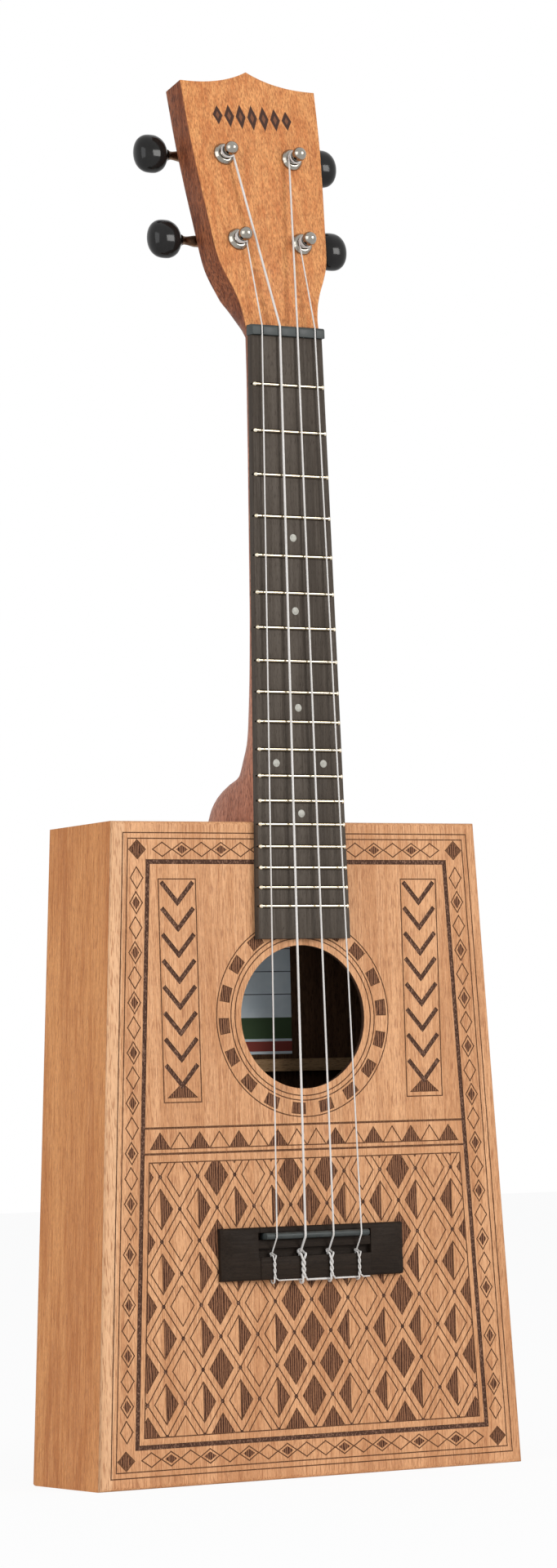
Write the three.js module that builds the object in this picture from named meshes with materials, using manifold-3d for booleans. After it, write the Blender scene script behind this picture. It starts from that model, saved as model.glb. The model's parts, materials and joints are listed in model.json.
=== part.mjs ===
// Cigar box ukulele of concert scale, standing upright on the tail end of its box.
// Millimetres, +Z up towards the headstock, -Y towards the player's strings.
// The origin is the centre of the tail end face of the box.

import * as THREE from 'three';
import { mergeVertices } from 'three/addons/utils/BufferGeometryUtils.js';
import Module from 'manifold-3d';

const wasm = await Module();
wasm.setup();

// Box
const boxLength = 278.5;
const boxTopWidth = 180.1;
const boxBottomWidth = 208.9;
const boxTopDepth = 57;
const boxBottomDepth = 60.4;
const soundboardThickness = 2.4;
const backThickness = 2.4;
const sideThickness = 3.2;
const endThickness = 3.2;
const soundHoleRadius = 30.6;
const soundHoleFromTop = 83.4;
const liningWidth = 5;
const liningDepth = 6;
const neckBlockWidth = 62;
const neckBlockThickness = 18;
const tailBlockWidth = 46;
const tailBlockThickness = 12;
const braceWidth = 5.4;
const braceDepth = 8;
const braceEndDepth = 3;
const soundboardBraceFromTop = 132.5;
const backBraceFromTop = 103.1;
const patchLength = 112;
const patchHeight = 32;
const patchThickness = 1.6;

// Neck, measured down from the nut's front edge
const neckFree = 209.35;
const fretCount = 18;
const fingerboardOnBox = 50.15;
const fingerboardNutWidth = 35.15;
const fingerboardEndWidth = 45.45;
const fingerboardThickness = 3.75;
const nutThickness = 4.5;
const nutOverhang = 0.5;
const nutStand = 1.5;
const nutRound = 1.3;
const fretWidth = 1.9;
const fretCrown = 0.95;
const fretTangWidth = 0.5;
const fretTangDepth = 1.5;
const fretInset = 0.15;
const fretBevel = 0.8;

// Headstock
const headAngle = THREE.MathUtils.degToRad(12);
const headLength = 119.7;
const headCornerRise = 113;
const headTopWidth = 67.8;
const headThickness = 14.2;
const crestPullShare = 0.4;
const crestDipShare = 0.1;

// Bridge and saddle
const bridgeLength = 90.2;
const bridgeHeight = 22.2;
const bridgeFromTop = 172.1;
const bridgeCentreLength = 54;
const bridgeCentreThickness = 4.9;
const bridgeWingThickness = 4.4;
const bridgeTipThickness = 2.1;
const bridgeRound = 1.2;
const saddleLength = 50.8;
const saddleThickness = 2.8;
const saddleFromEdge = 2.4;
const saddleSetback = 5.25;
const saddleStand = 7.7;
const slotLength = 55.6;
const slotFloor = 1.5;
const channelFromEdge = 9;
const channelWidth = 3.6;
const channelFloor = 1.6;
const ledgeThickness = 3.9;
const tieHoleRise = 2.5;

// Strings, from the left seen from the front
const stringNames = ['g', 'c', 'e', 'a'];
const stringDiameters = [0.62, 1, 0.84, 0.66];
const stringTurnCounts = [3, 2, 2.5, 3];
const stringNutSpacing = 8.84;
const stringSaddleSpacing = 13.95;
const stringNutHeight = 1.1;
const stringAir = 0.3;
const windingGap = 0.54;

// Tuners, in the headstock's own frame
const upperPostRise = 79.5;
const upperPostOffset = 17.05;
const lowerPostRise = 39.8;
const lowerPostOffset = 16;
const flangeRadius = 5;
const flangeHeight = 2.1;
const sleeveRadius = 3.9;
const sleeveDepth = 9;
const postRadius = 2.75;
const drumRadius = 2.3;
const waistRadius = 1.9;
const capRadius = 2.8;
const capRise = 8.6;
const stringHoleRadius = 0.75;
const stringHoleRise = 5.9;
const plateLength = 33;
const plateWidth = 13.6;
const plateThickness = 1;
const plateShift = 3;
const earThickness = 1.1;
const earSpan = 10.6;
const earHalfHeight = 3.1;
const shaftRadius = 1.65;
const wormLift = 3.2;
const wormDistance = 5.8;
const gearTeeth = 14;
const gearPitchRadius = 3.7;
const toothAddendum = 0.35;
const toothDedendum = 0.5;
const gearThickness = 3;
const gearShoulderRadius = 2.6;
const buttonReach = 33.2;
const buttonLength = 15.6;
const buttonRadius = 8.2;
const buttonFlatnessShare = 0.76;
const buttonBoreShare = 0.55;

// Clearances
const runningGap = 0.3;
const seatGap = 0.1;
const slotGap = 0.1;
const overrun = 2;

// Facet counts
const holeSides = 40;
const latheSides = 12;
const neckSides = 16;
const stringSides = 6;
const stepsPerTurn = 16;
const wormStepsPerTurn = 8;
const crestSteps = 8;
const smallHoleSides = 8;

// Derived places
const frontY = -boxBottomDepth / 2;
const nutZ = boxLength + neckFree;
const fingerboardY = frontY - fingerboardThickness;
const fingerboardLength = neckFree + fingerboardOnBox;
const headBaseZ = nutZ + nutThickness;
const bridgeTopZ = boxLength - bridgeFromTop;
const bridgeMidZ = bridgeTopZ - bridgeHeight / 2;
const saddleMidZ = bridgeTopZ - saddleFromEdge - saddleThickness / 2;
const scaleLength = nutZ - saddleMidZ - saddleSetback;
const soundHoleZ = boxLength - soundHoleFromTop;
const soundboardBraceZ = boxLength - soundboardBraceFromTop;
const backBraceZ = boxLength - backBraceFromTop;
const wormDepth = headThickness + plateThickness + wormLift;

const halfWidthAt = (z) => THREE.MathUtils.lerp(boxBottomWidth, boxTopWidth, z / boxLength) / 2;
const backYAt = (z) => frontY + THREE.MathUtils.lerp(boxBottomDepth, boxTopDepth, z / boxLength);
const fingerboardHalfAt = (drop) =>
  THREE.MathUtils.lerp(fingerboardNutWidth, fingerboardEndWidth, drop / fingerboardLength) / 2;
const fretDrop = (n) => scaleLength * (1 - 2 ** (-n / 12));

// Materials
const finish = (color, roughness, metalness = 0) =>
  new THREE.MeshStandardMaterial({ color, roughness, metalness });
const boxWood = finish(0xd9a066, 0.55);
const innerWood = finish(0xcfae7c, 0.8);
const neckWood = finish(0xb5713f, 0.5);
const darkWood = finish(0x3c322c, 0.6);
const blackBone = finish(0x2b302f, 0.4);
const fretMetal = finish(0xd8d2bc, 0.3, 0.9);
const nickel = finish(0xb9b5aa, 0.25, 0.95);
const bronze = finish(0x6d5138, 0.4, 0.9);
const blackPlastic = finish(0x0d0d0e, 0.15);
const nylon = finish(0xe8e2da, 0.35);

const ukulele = new THREE.Group();
const head = new THREE.Group();
head.position.set(0, frontY, headBaseZ);
head.rotation.x = -headAngle;
ukulele.add(head);

function add(name, geometry, material, parent = ukulele) {
  const mesh = new THREE.Mesh(geometry, material);
  mesh.name = name;
  parent.add(mesh);
}

// One closed geometry with shared corners and its faces pointing out
function closed(geometry) {
  const bare = geometry.clone();
  bare.deleteAttribute('normal');
  bare.deleteAttribute('uv');
  const merged = mergeVertices(bare, 1e-5);
  const corners = merged.attributes.position;
  const index = Array.from(merged.index.array);
  const a = new THREE.Vector3();
  const b = new THREE.Vector3();
  const c = new THREE.Vector3();
  const kept = [];
  let volume = 0;
  for (let i = 0; i < index.length; i += 3) {
    const [p, q, r] = index.slice(i, i + 3);
    if (p === q || q === r || r === p) continue;
    a.fromBufferAttribute(corners, p);
    b.fromBufferAttribute(corners, q);
    c.fromBufferAttribute(corners, r);
    volume += a.dot(b.cross(c));
    kept.push(p, q, r);
  }
  if (volume < 0) kept.reverse();
  merged.setIndex(kept);
  return merged;
}

function solid(geometry) {
  const merged = closed(geometry);
  const vertProperties = new Float32Array(merged.attributes.position.array);
  const triVerts = new Uint32Array(merged.index.array);
  return new wasm.Manifold(new wasm.Mesh({ numProp: 3, vertProperties, triVerts }));
}

function geometryOf(manifold) {
  const mesh = manifold.getMesh();
  const geometry = new THREE.BufferGeometry();
  geometry.setAttribute('position', new THREE.BufferAttribute(new Float32Array(mesh.vertProperties), 3));
  geometry.setIndex(Array.from(mesh.triVerts));
  return geometry;
}

// Rings of equally many points joined into one closed body with flat ends
function loft(rings) {
  const count = rings[0].length;
  const positions = rings.flat().flatMap((p) => [p.x, p.y, p.z]);
  const index = [];
  for (let k = 0; k < rings.length - 1; k += 1) {
    for (let i = 0; i < count; i += 1) {
      const a = k * count + i;
      const b = k * count + ((i + 1) % count);
      index.push(a, b, b + count, a, b + count, a + count);
    }
  }
  const last = (rings.length - 1) * count;
  for (let i = 1; i < count - 1; i += 1) {
    index.push(0, i + 1, i, last, last + i, last + i + 1);
  }
  const geometry = new THREE.BufferGeometry();
  geometry.setAttribute('position', new THREE.Float32BufferAttribute(positions, 3));
  geometry.setIndex(index);
  return closed(geometry);
}

// A block between two heights whose sides and faces may lean
function wedge(z0, z1, leftAt, rightAt, nearAt, farAt) {
  const ring = (z) => [
    new THREE.Vector3(leftAt(z), nearAt(z), z),
    new THREE.Vector3(rightAt(z), nearAt(z), z),
    new THREE.Vector3(rightAt(z), farAt(z), z),
    new THREE.Vector3(leftAt(z), farAt(z), z),
  ];
  return loft([ring(z0), ring(z1)]);
}

// A box given by its low and high corners
function block(x0, x1, y0, y1, z0, z1) {
  const geometry = new THREE.BoxGeometry(x1 - x0, y1 - y0, z1 - z0);
  geometry.translate((x0 + x1) / 2, (y0 + y1) / 2, (z0 + z1) / 2);
  return closed(geometry);
}

// A round rod along one axis between two places
function rod(radius, from, to, sides) {
  const span = new THREE.Vector3().subVectors(to, from);
  const geometry = new THREE.CylinderGeometry(radius, radius, span.length(), sides);
  const turn = new THREE.Quaternion().setFromUnitVectors(
    new THREE.Vector3(0, 1, 0),
    span.clone().normalize(),
  );
  geometry.applyQuaternion(turn);
  geometry.translate((from.x + to.x) / 2, (from.y + to.y) / 2, (from.z + to.z) / 2);
  return closed(geometry);
}

// An outline in x and z, pushed back from a front plane
function plate(shape, y, thickness, curveSegments = holeSides) {
  const geometry = new THREE.ExtrudeGeometry(shape, { depth: thickness, bevelEnabled: false, curveSegments });
  geometry.rotateX(Math.PI / 2);
  geometry.translate(0, y + thickness, 0);
  return closed(geometry);
}

// An outline in z and y, pushed sideways, centred on the middle plane
function bar(points, length) {
  const shape = new THREE.Shape(points.map(([z, y]) => new THREE.Vector2(z, y)));
  const geometry = new THREE.ExtrudeGeometry(shape, { depth: length, bevelEnabled: false });
  geometry.translate(0, 0, -length / 2);
  geometry.applyMatrix4(new THREE.Matrix4().makeBasis(
    new THREE.Vector3(0, 0, 1),
    new THREE.Vector3(0, 1, 0),
    new THREE.Vector3(-1, 0, 0),
  ));
  return closed(geometry);
}

// Plates and sides of the box
const outline = new THREE.Shape([
  new THREE.Vector2(-halfWidthAt(0), 0),
  new THREE.Vector2(halfWidthAt(0), 0),
  new THREE.Vector2(halfWidthAt(boxLength), boxLength),
  new THREE.Vector2(-halfWidthAt(boxLength), boxLength),
]);
outline.holes.push(new THREE.Path().absarc(0, soundHoleZ, soundHoleRadius, 0, Math.PI * 2));
add('soundboard', plate(outline, frontY, soundboardThickness, holeSides / 2), boxWood);

const innerFrontY = frontY + soundboardThickness;
const innerBackYAt = (z) => backYAt(z) - backThickness;
const innerHalfAt = (z) => halfWidthAt(z) - sideThickness;
add('back_panel', wedge(0, boxLength, (z) => -halfWidthAt(z), halfWidthAt, innerBackYAt, backYAt), boxWood);
add('side_left', wedge(
  0, boxLength, (z) => -halfWidthAt(z), (z) => -innerHalfAt(z), () => innerFrontY, innerBackYAt,
), boxWood);
add('side_right', wedge(0, boxLength, innerHalfAt, halfWidthAt, () => innerFrontY, innerBackYAt), boxWood);

const endHalfAt = (z) => innerHalfAt(z) - seatGap / 2;
add('end_lower', wedge(
  0, endThickness, (z) => -endHalfAt(z), endHalfAt, () => innerFrontY, innerBackYAt,
), boxWood);
add('end_upper', wedge(
  boxLength - endThickness, boxLength, (z) => -endHalfAt(z), endHalfAt, () => innerFrontY, innerBackYAt,
), boxWood);

// Lining strips run round inside the box, against its walls
const liningLowZ = endThickness;
const liningHighZ = boxLength - endThickness;
function lining(nearAt, farAt, grow) {
  const outerAt = (z) => innerHalfAt(z) - seatGap + grow;
  const innerAt = (z) => innerHalfAt(z) - seatGap - liningWidth - grow;
  const low = liningLowZ + seatGap;
  const high = liningHighZ - seatGap;
  const nearSide = (z) => nearAt(z) - grow;
  const farSide = (z) => farAt(z) + grow;
  const whole = solid(wedge(low - grow, high + grow, (z) => -outerAt(z), outerAt, nearSide, farSide));
  const cut = solid(wedge(
    low + liningWidth + grow, high - liningWidth - grow, (z) => -innerAt(z), innerAt,
    (z) => nearAt(z) - overrun, (z) => farAt(z) + overrun,
  ));
  return whole.subtract(cut);
}
const frontLiningNear = () => innerFrontY + seatGap;
const frontLiningFar = () => innerFrontY + seatGap + liningDepth;
const backLiningNear = (z) => innerBackYAt(z) - seatGap - liningDepth;
const backLiningFar = (z) => innerBackYAt(z) - seatGap;
add('front_lining', geometryOf(lining(frontLiningNear, frontLiningFar, 0)), innerWood);
add('back_lining', geometryOf(lining(backLiningNear, backLiningFar, 0)), innerWood);

// End blocks, notched where the linings pass
function endBlock(halfWidth, z0, z1) {
  const body = solid(wedge(
    z0, z1, () => -halfWidth, () => halfWidth, () => innerFrontY + seatGap, (z) => innerBackYAt(z) - seatGap,
  ));
  const notched = body.subtract(lining(frontLiningNear, frontLiningFar, seatGap));
  return geometryOf(notched.subtract(lining(backLiningNear, backLiningFar, seatGap)));
}
add('neck_block', endBlock(
  neckBlockWidth / 2, boxLength - endThickness - neckBlockThickness, boxLength - endThickness - seatGap / 2,
), innerWood);
add('tail_block', endBlock(
  tailBlockWidth / 2, endThickness + seatGap / 2, endThickness + tailBlockThickness,
), innerWood);

// Braces with thinned ends, set between the linings
function brace(z, seatYAt, towards) {
  const half = innerHalfAt(z) - liningWidth - 2 * seatGap - braceWidth / 2;
  const middle = half - braceDepth * 2;
  const seat = (at) => seatYAt(at) + towards * seatGap;
  const ring = (at) => {
    const tall = [[-half, braceEndDepth], [-middle, braceDepth], [middle, braceDepth], [half, braceEndDepth]];
    const foot = [[half, 0], [-half, 0]];
    return [...foot, ...tall].map(([x, rise]) => new THREE.Vector3(x, seat(at) + towards * rise, at));
  };
  return loft([ring(z - braceWidth / 2), ring(z + braceWidth / 2)]);
}
add('soundboard_brace', brace(soundboardBraceZ, () => innerFrontY, 1), innerWood);
add('back_brace', brace(backBraceZ, innerBackYAt, -1), innerWood);
add('bridge_patch', block(
  -patchLength / 2, patchLength / 2, innerFrontY, innerFrontY + patchThickness,
  bridgeMidZ - patchHeight / 2, bridgeMidZ + patchHeight / 2,
), innerWood);

// Neck, heel and headstock are one loft of cross-sections.
// Each section row: share of the free neck below the nut, its depth as a share of the box depth, its fullness.
const neckSectionShares = [
  [1, 0.934, 4.4],
  [0.983, 0.928, 4],
  [0.961, 0.911, 3.5],
  [0.938, 0.848, 3],
  [0.915, 0.65, 2.7],
  [0.907, 0.53, 2.5],
  [0.901, 0.501, 2.3],
  [0.874, 0.453, 2.05],
  [0.829, 0.335, 1.9],
  [0.758, 0.285, 1.75],
  [0.67, 0.25, 1.6],
  [0.545, 0.226, 1.5],
  [0.3, 0.22, 1.5],
  [0.1, 0.22, 1.55],
  [0, 0.224, 1.7],
];
// Each headstock row: rise as a share of its length, half-width as a share of its top width, squareness.
const headSectionShares = [
  [0, 0.27, 2.2],
  [0.034, 0.274, 3],
  [0.067, 0.283, 4.5],
  [0.1, 0.296, 8],
  [0.15, 0.327, 30],
  [0.2, 0.367, 30],
  [0.25, 0.398, 30],
  [0.3, 0.414, 30],
  [0.38, 0.428, 30],
  [0.59, 0.464, 30],
  [0.75, 0.486, 30],
  [0.94, 0.5, 30],
  [1.03, 0.505, 30],
];
const headRoundShare = 0.04;

function neckRing(origin, tilt, half, depth, power) {
  const into = new THREE.Vector3(0, Math.cos(tilt), -Math.sin(tilt));
  const ring = [];
  for (let i = 0; i <= neckSides; i += 1) {
    const turn = (Math.PI * i) / neckSides;
    const across = i === neckSides / 2 ? 0 : Math.cos(turn);
    const side = half * Math.sign(across) * Math.abs(across) ** (2 / Math.max(power, 2));
    const deep = i === 0 || i === neckSides ? 0 : depth * Math.sin(turn) ** (2 / power);
    ring.push(new THREE.Vector3(side, 0, 0).addScaledVector(into, deep).add(origin));
  }
  return ring;
}

function makeNeck() {
  const rings = neckSectionShares.map(([dropShare, depthShare, fullness]) => {
    const drop = neckFree * dropShare;
    const origin = new THREE.Vector3(0, frontY, nutZ - drop);
    return neckRing(origin, 0, fingerboardHalfAt(drop), boxTopDepth * depthShare, fullness);
  });
  const up = new THREE.Vector3(0, Math.sin(headAngle), Math.cos(headAngle));
  for (const [riseShare, halfShare, squareness] of headSectionShares) {
    const origin = new THREE.Vector3(0, frontY, headBaseZ).addScaledVector(up, headLength * riseShare);
    const tilt = headAngle * Math.min(1, 0.5 + riseShare / headRoundShare / 2);
    rings.push(neckRing(origin, tilt, headTopWidth * halfShare, headThickness, squareness));
  }
  return solid(loft(rings));
}

// The crest of the headstock: a point in the middle with a hollow curve to each corner
function crestCutter() {
  const reach = headTopWidth;
  const corner = headTopWidth / 2;
  const dip = headCornerRise - (headLength - headCornerRise) * crestDipShare;
  const shape = new THREE.Shape();
  shape.moveTo(-reach, headCornerRise);
  shape.lineTo(-corner, headCornerRise);
  shape.quadraticCurveTo(-corner * crestPullShare, dip, 0, headLength);
  shape.quadraticCurveTo(corner * crestPullShare, dip, corner, headCornerRise);
  shape.lineTo(reach, headCornerRise);
  shape.lineTo(reach, headLength + reach);
  shape.lineTo(-reach, headLength + reach);
  const geometry = plate(shape, -overrun, headThickness + 2 * overrun, crestSteps);
  geometry.applyMatrix4(head.matrix);
  return solid(geometry);
}

head.updateMatrix();
const inHead = (x, y, z) => new THREE.Vector3(x, y, z).applyMatrix4(head.matrix);
const tuners = [
  { string: 0, side: -1, offset: lowerPostOffset, rise: lowerPostRise },
  { string: 1, side: -1, offset: upperPostOffset, rise: upperPostRise },
  { string: 2, side: 1, offset: upperPostOffset, rise: upperPostRise },
  { string: 3, side: 1, offset: lowerPostOffset, rise: lowerPostRise },
];
let neck = makeNeck().subtract(crestCutter());
for (const { side, offset, rise } of tuners) {
  const from = inHead(side * offset, -overrun, rise);
  const to = inHead(side * offset, headThickness + overrun, rise);
  neck = neck.subtract(solid(rod(sleeveRadius + runningGap, from, to, latheSides)));
}
add('neck', geometryOf(neck), neckWood);

// Fingerboard with a slot for each fret
function fingerboardRing(drop, y) {
  const half = fingerboardHalfAt(drop);
  return [new THREE.Vector3(-half, y, nutZ - drop), new THREE.Vector3(half, y, nutZ - drop)];
}
let fingerboard = solid(loft([frontY, fingerboardY].map((y) => [
  ...fingerboardRing(0, y),
  ...fingerboardRing(fingerboardLength, y).reverse(),
])));
for (let n = 1; n <= fretCount; n += 1) {
  const z = nutZ - fretDrop(n);
  const half = fretTangWidth / 2 + slotGap;
  const floor = fingerboardY + fretTangDepth + slotGap;
  fingerboard = fingerboard.subtract(solid(block(
    -fingerboardEndWidth, fingerboardEndWidth, fingerboardY - overrun, floor, z - half, z + half,
  )));
}
add('fingerboard', geometryOf(fingerboard), darkWood);

// Frets: a crown with bevelled ends over a tang
function makeFret(n) {
  const z = nutZ - fretDrop(n);
  const half = fingerboardHalfAt(fretDrop(n)) - fretInset;
  const points = [
    [z + fretTangWidth / 2, fingerboardY],
    [z + fretTangWidth / 2, fingerboardY + fretTangDepth],
    [z - fretTangWidth / 2, fingerboardY + fretTangDepth],
    [z - fretTangWidth / 2, fingerboardY],
  ];
  const crownSteps = 6;
  for (let i = 0; i <= crownSteps; i += 1) {
    const turn = (Math.PI * i) / crownSteps;
    points.push([z - (fretWidth / 2) * Math.cos(turn), fingerboardY - fretCrown * Math.sin(turn)]);
  }
  const geometry = bar(points, 2 * half);
  const corners = geometry.attributes.position;
  for (let i = 0; i < corners.count; i += 1) {
    const raised = Math.max(0, fingerboardY - corners.getY(i)) / fretCrown;
    corners.setX(i, corners.getX(i) - Math.sign(corners.getX(i)) * fretBevel * raised);
  }
  return geometry;
}
for (let n = 1; n <= fretCount; n += 1) {
  add(`fret_${String(n).padStart(2, '0')}`, makeFret(n), fretMetal);
}

// Places of the strings across the nut and the saddle
const stringCount = stringNames.length;
const nutX = (i) => (i - (stringCount - 1) / 2) * stringNutSpacing;
const saddleX = (i) => (i - (stringCount - 1) / 2) * stringSaddleSpacing;
const stringRadius = (i) => stringDiameters[i] / 2;

// Nut with a rounded back edge and a groove for each string
function makeNut() {
  const top = fingerboardY - nutStand;
  const points = [[nutZ, frontY], [nutZ, top]];
  const steps = 4;
  for (let i = 0; i <= steps; i += 1) {
    const turn = ((Math.PI / 2) * i) / steps;
    const z = headBaseZ - nutRound + nutRound * Math.sin(turn);
    points.push([z, top + nutRound - nutRound * Math.cos(turn)]);
  }
  points.push([headBaseZ, frontY]);
  let body = solid(bar(points, fingerboardNutWidth + 2 * nutOverhang));
  for (let i = 0; i < stringCount; i += 1) {
    const half = stringRadius(i) + stringAir;
    body = body.subtract(solid(block(
      nutX(i) - half, nutX(i) + half, top - overrun, fingerboardY - stringNutHeight + stringAir,
      nutZ - overrun, headBaseZ + overrun,
    )));
  }
  return geometryOf(body);
}
add('nut', makeNut(), blackBone);

// Bridge: a low body with a raised middle, a saddle slot, a channel and a drilled tie block
function bridgeRing(x, thickness) {
  const low = bridgeTopZ - bridgeHeight;
  const round = Math.min(bridgeRound, thickness / 2);
  const soft = round * (1 - Math.SQRT1_2);
  const section = [
    [low, 0], [low, thickness - round], [low + soft, thickness - soft], [low + round, thickness],
    [bridgeTopZ - round, thickness], [bridgeTopZ - soft, thickness - soft],
    [bridgeTopZ, thickness - round], [bridgeTopZ, 0],
  ];
  return section.map(([z, rise]) => new THREE.Vector3(x, frontY - rise, z));
}
// Each row: half-length as a share of the bridge, thickness between tip and wing as a share
const bridgeWingShares = [[1, 0], [0.975, 0.45], [0.9, 0.75], [0.75, 0.93], [0.55, 1]];
function makeBridge() {
  const wing = bridgeWingShares.map(([lengthShare, riseShare]) => [
    (bridgeLength / 2) * lengthShare,
    THREE.MathUtils.lerp(bridgeTipThickness, bridgeWingThickness, riseShare),
  ]);
  const rings = [
    ...wing.map(([x, thickness]) => bridgeRing(-x, thickness)),
    ...wing.reverse().map(([x, thickness]) => bridgeRing(x, thickness)),
  ];
  let body = solid(loft(rings));
  const middle = bridgeCentreLength / 2;
  const raised = [bridgeRing(-middle, bridgeCentreThickness), bridgeRing(middle, bridgeCentreThickness)];
  body = body.add(solid(loft(raised)));
  const top = frontY - bridgeCentreThickness - overrun;
  const slotTop = bridgeTopZ - saddleFromEdge + slotGap;
  const slotLow = slotTop - saddleThickness - 2 * slotGap;
  const slot = block(-slotLength / 2, slotLength / 2, top, frontY - slotFloor, slotLow, slotTop);
  const channelTop = bridgeTopZ - channelFromEdge;
  const channelLow = channelTop - channelWidth;
  const channel = block(-slotLength / 2, slotLength / 2, top, frontY - channelFloor, channelLow, channelTop);
  const ledge = block(-slotLength / 2, slotLength / 2, top, frontY - ledgeThickness, channelLow, slotLow);
  body = body.subtract(solid(slot)).subtract(solid(channel)).subtract(solid(ledge));
  for (let i = 0; i < stringCount; i += 1) {
    const from = new THREE.Vector3(saddleX(i), frontY - tieHoleRise, channelLow + channelWidth / 2);
    const to = new THREE.Vector3(saddleX(i), frontY - tieHoleRise, bridgeTopZ - bridgeHeight - overrun);
    body = body.subtract(solid(rod(stringRadius(i) + stringAir, from, to, smallHoleSides)));
  }
  return geometryOf(body);
}
add('bridge', makeBridge(), darkWood);

// Saddle with a rounded top
function makeSaddle() {
  const half = saddleThickness / 2;
  const points = [[saddleMidZ - half, frontY - slotFloor]];
  const steps = 6;
  for (let i = 0; i <= steps; i += 1) {
    const turn = (Math.PI * i) / steps;
    points.push([
      saddleMidZ - half * Math.cos(turn),
      frontY - saddleStand + half * (1 - Math.sin(turn)),
    ]);
  }
  points.push([saddleMidZ + half, frontY - slotFloor]);
  return bar(points, saddleLength);
}
add('saddle', makeSaddle(), blackBone);

// A tube of one radius along points, carried round bends without twist
function tube(points, radius) {
  const normal = new THREE.Vector3(1, 0, 0);
  const rings = points.map((point, k) => {
    const before = points[Math.max(0, k - 1)];
    const after = points[Math.min(points.length - 1, k + 1)];
    const along = new THREE.Vector3().subVectors(after, before).normalize();
    normal.addScaledVector(along, -normal.dot(along)).normalize();
    const other = new THREE.Vector3().crossVectors(along, normal);
    const ring = [];
    for (let i = 0; i < stringSides; i += 1) {
      const turn = (2 * Math.PI * i) / stringSides;
      const place = point.clone().addScaledVector(normal, radius * Math.cos(turn));
      ring.push(place.addScaledVector(other, radius * Math.sin(turn)));
    }
    return ring;
  });
  return loft(rings);
}

// Least distance between stretches of a line that lie further apart along it than a few diameters
function leastGap(points, diameter) {
  const spaced = [];
  for (let k = 0; k < points.length - 1; k += 1) {
    const pieces = Math.max(1, Math.ceil(points[k].distanceTo(points[k + 1]) / (diameter / 4)));
    for (let j = 0; j < pieces; j += 1) {
      spaced.push(points[k].clone().lerp(points[k + 1], j / pieces));
    }
  }
  let travelled = 0;
  const along = spaced.map((point, k) => {
    travelled += k ? point.distanceTo(spaced[k - 1]) : 0;
    return travelled;
  });
  let least = Infinity;
  for (let a = 0; a < spaced.length; a += 1) {
    for (let b = a + 1; b < spaced.length; b += 1) {
      if (along[b] - along[a] < diameter * 4) continue;
      least = Math.min(least, spaced[a].distanceTo(spaced[b]));
    }
  }
  return least - diameter;
}

// The turns of a string on its post, listed from the outer end of the string to the first turn
function windingPoints(i) {
  const { side, offset, rise } = tuners[i];
  const radius = stringRadius(i);
  const around = drumRadius + runningGap + radius;
  const pitch = stringDiameters[i] + windingGap;
  const lowest = flangeHeight + runningGap + radius;
  const centre = new THREE.Vector2(side * offset, rise);
  const slot = new THREE.Vector2(nutX(i), 0);
  const reach = centre.distanceTo(slot);
  const bearing = Math.atan2(slot.y - centre.y, slot.x - centre.x);
  const leave = bearing - side * Math.acos(around / reach);
  const points = [];
  const steps = Math.round(stringTurnCounts[i] * stepsPerTurn);
  for (let k = steps; k >= 0; k -= 1) {
    const share = k / steps;
    const turn = leave - side * 2 * Math.PI * stringTurnCounts[i] * share;
    const tuck = Math.max(0, k - (steps - stepsPerTurn / 4)) / (stepsPerTurn / 4);
    const distance = THREE.MathUtils.lerp(around, waistRadius + runningGap + radius, tuck);
    const height = lowest + (pitch * k) / stepsPerTurn;
    const x = centre.x + distance * Math.cos(turn);
    const z = centre.y + distance * Math.sin(turn);
    points.push(inHead(x, -height, z));
  }
  return points;
}

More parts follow.
